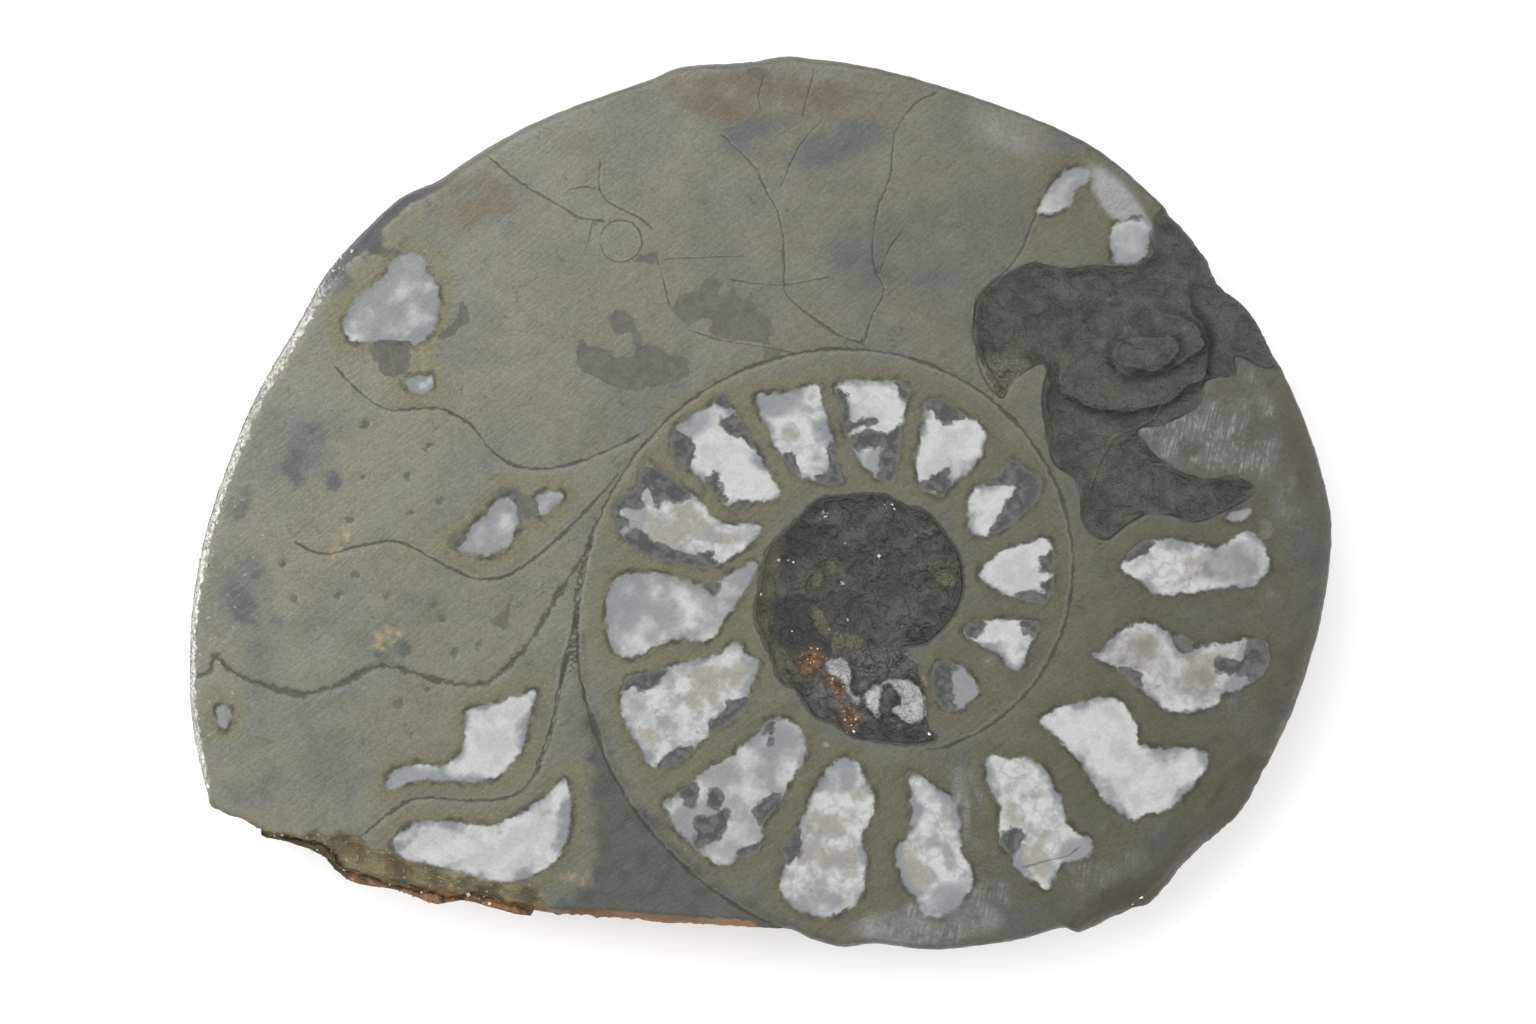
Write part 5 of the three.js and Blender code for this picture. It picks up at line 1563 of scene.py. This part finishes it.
def crust_density(points, fields, top):
    """Where crystals grow: on the silvery edge, on the broken mouth and in the middle of the coil."""
    plug, _, bevel = fields["middle"].T
    silver_and_highlight, earth, _ = fields["worn"].T
    gold_and_glint, iron = fields["stains"][:, 1], smoothstep(fields["plug_marks"][:, 2], -0.3, 0.3)
    edge = smoothstep(bevel, 0.15, 0.5)
    face = edge * (0.5 * silver_and_highlight + 0.02 * earth)
    face += smoothstep(plug, 0, 0.4) * (0.003 + 0.2 * np.maximum(0.4 * iron, gold_and_glint))
    angle = polar(points)[1]
    wall = (rim_radius(angle) - polar(points)[0] < WALL_INSET) * (0.35 * silver_and_highlight + 0.05 * earth + 0.012)
    return np.where(top, face, wall)


def colour(name, description, red, green, blue):
    """A colour property, from values of 0 to 255."""
    shares = np.array([red, green, blue]) / 255
    linear = np.where(shares <= 0.04045, shares / 12.92, ((shares + 0.055) / 1.055) ** 2.4)
    return FloatVectorProperty(name=name, description=description, subtype="COLOR", size=3, min=0, max=1,
                               default=[float(value) for value in linear])


def length(name, description, millimetres):
    """A length property, from millimetres."""
    return FloatProperty(name=name, description=description, default=millimetres * MM, min=0, unit="LENGTH",
                         precision=5)


class AmmoniteSizes(bpy.types.PropertyGroup):
    """Sizes of the stone's relief."""

    rib_count: IntProperty(name="Ribs", description="Ribs on one turn of the flank", default=30, min=1)
    rib_height: length("Rib height", "From a rib's foot to the middle of its slope", 0.55)
    rib_sweep: FloatProperty(name="Rib sweep", description="How far a rib swings forward and back",
                             default=math.radians(4), subtype="ANGLE")
    lump_size: length("Lump size", "Breadth of the lumps on rough stone", 2.4)
    crumb_size: length("Crumb size", "Breadth of the crumb on rough stone", 0.8)
    crumb_share: FloatProperty(name="Crumb share", description="How much of the roughness is crumb",
                               default=0.45, min=0, max=1)


class AmmoniteColours(bpy.types.PropertyGroup):
    """Colours of the stone."""

    pyrite: colour("Pyrite", "Polished pyrite at the upper left", 110, 111, 100)
    # Painted shade: how much of the pyrite's colour is left at the lower right
    painted_light_kept: FloatProperty(name="Dusk", description="Share of light that the pyrite keeps at the lower right",
                        default=0.37, min=0, max=1)
    pyrite_warm: colour("Warm pyrite", "Brownish clouds", 109, 104, 86)
    pyrite_cool: colour("Cool pyrite", "Bluish grey clouds", 96, 101, 95)
    chamber_wall: colour("Chamber wall", "Brassy walls beside the chambers", 104, 101, 77)
    slate: colour("Slate", "Bluish bands", 83, 88, 87)
    brown: colour("Brown", "Brown bands near the outer edge", 98, 92, 77)
    # Brassy streaks and crumbs, and the painted gold glints
    smudge: colour("Smudge", "Dark smudges", 78, 81, 81)
    gold_and_glint: colour("Gold", "Bright brassy specks", 149, 138, 101)
    mist: colour("Mist", "Smooth pale bloom", 129, 129, 129)
    rust: colour("Rust", "Orange iron stains", 128, 87, 41)
    rust_dark: colour("Dark rust", "Brown iron stains", 68, 41, 18)
    strip: colour("Strip", "Orange strip on the lower edge", 124, 90, 56)
    frost: colour("Frost", "Pale bloom at the right", 84, 84, 81)
    frost_light: colour("Frost scratches", "Bright scratches in the bloom", 123, 123, 122)
    wedge: colour("Wedge", "Dark stone between the last two whorls", 72, 73, 68)
    matrix: colour("Matrix", "Dark fill of the umbilicus and the right side", 52, 53, 48)
    matrix_light: colour("Light matrix", "Lighter mottles of the dark fill", 70, 71, 64)
    matrix_blue: colour("Blue matrix", "Bluish fill beside the right edge", 62, 63, 64)
    # Used for the painted highlight on the ledges' lips, and as the real paler colour of the bubbly part of
    # the plug
    pale_matrix_and_highlight: colour("Matrix lip", "Lip of a ledge in the dark fill", 88, 89, 83)
    # Painted shade: the dark of the plug's hollows
    hollow_shade: colour("Hollow", "Darkest hollows of the fill", 41, 42, 43)
    bead: colour("Bead", "Beads of pyrite in the fill", 92, 89, 70)
    inclusion: colour("Inclusion", "Dark inclusions and pits", 76, 76, 68)
    inclusion_dark: colour("Dark inclusion", "Inclusions within the calcite", 53, 55, 55)
    # Painted shade: the dark in the cracks, along the sunk edges and in the shadows under the ledges
    crack_shade: colour("Crack", "Cracks and undercuts of the dark fill", 21, 21, 18)
    inclusion_light: colour("Pale inclusion", "Paler mottles of the inclusions", 97, 98, 94)
    line: colour("Line", "Sutures, cracks and outlines", 39, 39, 33)
    # Painted highlight beside the sutures, seams and cracks
    highlight_lip: colour("Lip", "Lighter edge beside a suture", 120, 118, 102)
    calcite: colour("Calcite", "Inside of a calcite patch", 164, 165, 164)
    calcite_edge: colour("Calcite edge", "Bluish edge of a calcite patch", 107, 111, 115)
    calcite_cream: colour("Cream calcite", "Cream mottles", 125, 121, 112)
    calcite_grey: colour("Grey calcite", "Grey mottles", 108, 109, 109)
    calcite_aged: colour("Aged calcite", "Warm grey calcite at the right", 101, 97, 90)
    lavender: colour("Lavender calcite", "Thin bluish calcite", 110, 113, 115)
    edge: colour("Worn edge", "Worn edge round the face", 83, 82, 76)
    outline: colour("Outline", "Dark line at the very edge", 47, 45, 42)
    # Silvery crystals, and the painted highlight and glints on the left bevel and the flank
    silver_and_highlight: colour("Silver", "Bright pyrite grains", 200, 200, 197)
    crystal: colour("Crystal", "Brassy crystals", 153, 145, 118)
    earth: colour("Earth", "Brown crust on the broken edge", 65, 55, 32)
    earth_light: colour("Light earth", "Lighter brown of the crust", 109, 99, 70)
    chip: colour("Chip", "Smooth brown chip at the lower right", 57, 54, 43)
    soot: colour("Soot", "Dark edge at the upper left", 66, 66, 69)
    flank: colour("Flank", "Natural outside", 99, 94, 78)
    flank_crust: colour("Flank crust", "Brown crust on the outside", 92, 79, 58)
    flank_hollow: colour("Flank hollow", "Darker hollows of the outside", 68, 65, 53)


class AmmoniteCrystals(bpy.types.PropertyGroup):
    """The small crystals of pyrite."""

    density: FloatProperty(name="Density", description="Most crystals on a square metre", default=9e6, min=0)
    smallest: length("Smallest", "Side of the smallest cube", 0.1)
    largest: length("Largest", "Side of the largest cube", 0.42)
    sunk: FloatProperty(name="Sunk", description="How deep a cube sits, as a share of its side", default=0.3)
    seed: IntProperty(name="Seed", description="Another number gives other crystals", default=4, min=0)


class AmmoniteStage(bpy.types.PropertyGroup):
    """The floor, the lights and the camera."""

    floor_side: FloatProperty(name="Floor side", description="Width of the floor", default=6, unit="LENGTH")
    floor: colour("Floor", "Pale floor", 250, 250, 250)
    sky: FloatProperty(name="Surroundings", description="Strength of the light from all round", default=0.85)
    key_power: FloatProperty(name="Key light", description="Power in watts", default=12, min=0)
    fill_power: FloatProperty(name="Fill light", description="Power in watts", default=6.5, min=0)
    edge_power: FloatProperty(name="Edge light", description="Power in watts", default=1.6, min=0)
    lens: FloatProperty(name="Lens", description="Focal length in millimetres", default=135, min=1)
    view_width: length("View width", "Width that the camera sees at the polished face", 153.6)
    view_x: length("View centre X", "Where the camera stands to the right", 0.7)
    view_y: FloatProperty(name="View centre Y", description="Where the camera stands up the face",
                          default=-0.9 * MM, unit="LENGTH", precision=5)


class OBJECT_OT_ammonite_stone(bpy.types.Operator):
    """Make the sawn stone with its polished face and its ribbed flank"""

    bl_idname = "object.ammonite_stone"
    bl_label = "Stone"

    def execute(self, context):
        sizes, colours = context.scene.ammonite_sizes, context.scene.ammonite_colours
        shared_groups()
        stone = new_piece("ammonite_stone", stone_mesh())
        mesh_from_nodes(stone, relief_tree(), {
            "Coil centre": (COIL_CENTRE[0] * MM, COIL_CENTRE[1] * MM, 0), "Rib count": sizes.rib_count,
            "Rib height": sizes.rib_height, "Rib sweep": sizes.rib_sweep, "Lump size": sizes.lump_size,
            "Crumb size": sizes.crumb_size, "Crumb share": sizes.crumb_share, "Top": THICKNESS * MM,
            "Flank material": natural_flank(colours), "Face material": polished_face(colours),
        })
        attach(stone, "root")
        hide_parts("ammonite_fossil")
        return {"FINISHED"}


class OBJECT_OT_ammonite_crystals(bpy.types.Operator):
    """Strew small pyrite crystals on the stone's silvery edge, its broken mouth and its middle"""

    bl_idname = "object.ammonite_crystals"
    bl_label = "Crystals"

    def execute(self, context):
        stone = bpy.data.objects.get("ammonite_stone")
        if stone is None:
            raise RuntimeError("The stone comes first: its surface carries the crystals")
        crystals, colours = context.scene.ammonite_crystals, context.scene.ammonite_colours
        piece = new_piece("pyrite_crystals", stone.data.copy())
        mesh_from_nodes(piece, crystal_tree(), {
            "Density": crystals.density, "Smallest": crystals.smallest, "Largest": crystals.largest,
            "Sunk share": crystals.sunk, "Seed": crystals.seed, "Top": THICKNESS * MM,
            "Material": crystal_faces(colours),
        })
        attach(piece, "root")
        return {"FINISHED"}


# Each light's side and its place, in metres
LIGHTS = {
    "key": (1.4, (-0.55, 0.55, 0.95)),
    "fill": (1.2, (0.8, -0.3, 0.8)),
    "edge": (0.35, (-0.75, 0.1, 0.3)),
}


def add_light(name, side, power, place, target):
    """A soft square light that shines from its place at a target."""
    data = bpy.data.lights.new(name, "AREA")
    data.size, data.energy = side, power
    light = bpy.data.objects.new(name, data)
    light.location = place
    light.rotation_euler = (Vector(target) - Vector(place)).to_track_quat("-Z", "Y").to_euler()
    bpy.context.scene.collection.objects.link(light)


class OBJECT_OT_ammonite_stage(bpy.types.Operator):
    """Make the pale floor, the soft lights and the camera above the polished face"""

    bl_idname = "object.ammonite_stage"
    bl_label = "Stage"

    def execute(self, context):
        stage, scene = context.scene.ammonite_stage, context.scene
        half = stage.floor_side / 2
        mesh = bpy.data.meshes.new("floor")
        corners = [(-half, -half, 0), (half, -half, 0), (half, half, 0), (-half, half, 0)]
        mesh.from_pydata(corners, [], [(0, 1, 2, 3)])
        material = bpy.data.materials.new("floor")
        material.use_nodes = True
        shader = material.node_tree.nodes["Principled BSDF"]
        shader.inputs["Base Color"].default_value = (*stage.floor, 1)
        shader.inputs["Roughness"].default_value = 0.9
        mesh.materials.append(material)
        new_piece("floor", mesh)

        world = bpy.data.worlds.new("studio")
        world.use_nodes = True
        background = world.node_tree.nodes["Background"]
        background.inputs["Color"].default_value = (1, 1, 1, 1)
        background.inputs["Strength"].default_value = stage.sky
        scene.world = world
        for name, (side, place) in LIGHTS.items():
            add_light(name, side, getattr(stage, f"{name}_power"), place, (0, 0, THICKNESS * MM))

        data = bpy.data.cameras.new("camera")
        data.lens = stage.lens
        camera = bpy.data.objects.new("camera", data)
        above = stage.view_width * stage.lens / data.sensor_width
        camera.location = (stage.view_x, stage.view_y, THICKNESS * MM + above)
        scene.collection.objects.link(camera)
        scene.camera = camera
        scene.view_settings.view_transform = "Standard"
        return {"FINISHED"}


class VIEW3D_PT_ammonite(bpy.types.Panel):
    """The ammonite's pieces and their sizes and colours"""

    bl_label = "Ammonite"
    bl_space_type = "VIEW_3D"
    bl_region_type = "UI"
    bl_category = "Ammonite"

    def draw(self, context):
        for operator, _ in PIECES:
            self.layout.operator(operator)
        for name in SETTINGS:
            group = getattr(context.scene, name)
            box = self.layout.box()
            for key in type(group).__annotations__:
                box.prop(group, key)


SETTINGS = {
    "ammonite_sizes": AmmoniteSizes,
    "ammonite_colours": AmmoniteColours,
    "ammonite_crystals": AmmoniteCrystals,
    "ammonite_stage": AmmoniteStage,
}
PIECES = [
    ("object.ammonite_stage", OBJECT_OT_ammonite_stage),
    ("object.ammonite_stone", OBJECT_OT_ammonite_stone),
    ("object.ammonite_crystals", OBJECT_OT_ammonite_crystals),
]
CLASSES = [*SETTINGS.values(), *(kind for _, kind in PIECES), VIEW3D_PT_ammonite]


def register():
    """Adds the operators, the panel and the settings."""
    for kind in CLASSES:
        bpy.utils.register_class(kind)
    for name, kind in SETTINGS.items():
        setattr(bpy.types.Scene, name, PointerProperty(type=kind))


def unregister():
    """Takes them away again."""
    for name in SETTINGS:
        delattr(bpy.types.Scene, name)
    for kind in CLASSES:
        bpy.utils.unregister_class(kind)


def main():
    """Makes the stage, the stone and its crystals."""
    register()
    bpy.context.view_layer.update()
    bpy.ops.object.ammonite_stage()
    bpy.ops.object.ammonite_stone()
    bpy.ops.object.ammonite_crystals()


if __name__ == "__main__":
    main()
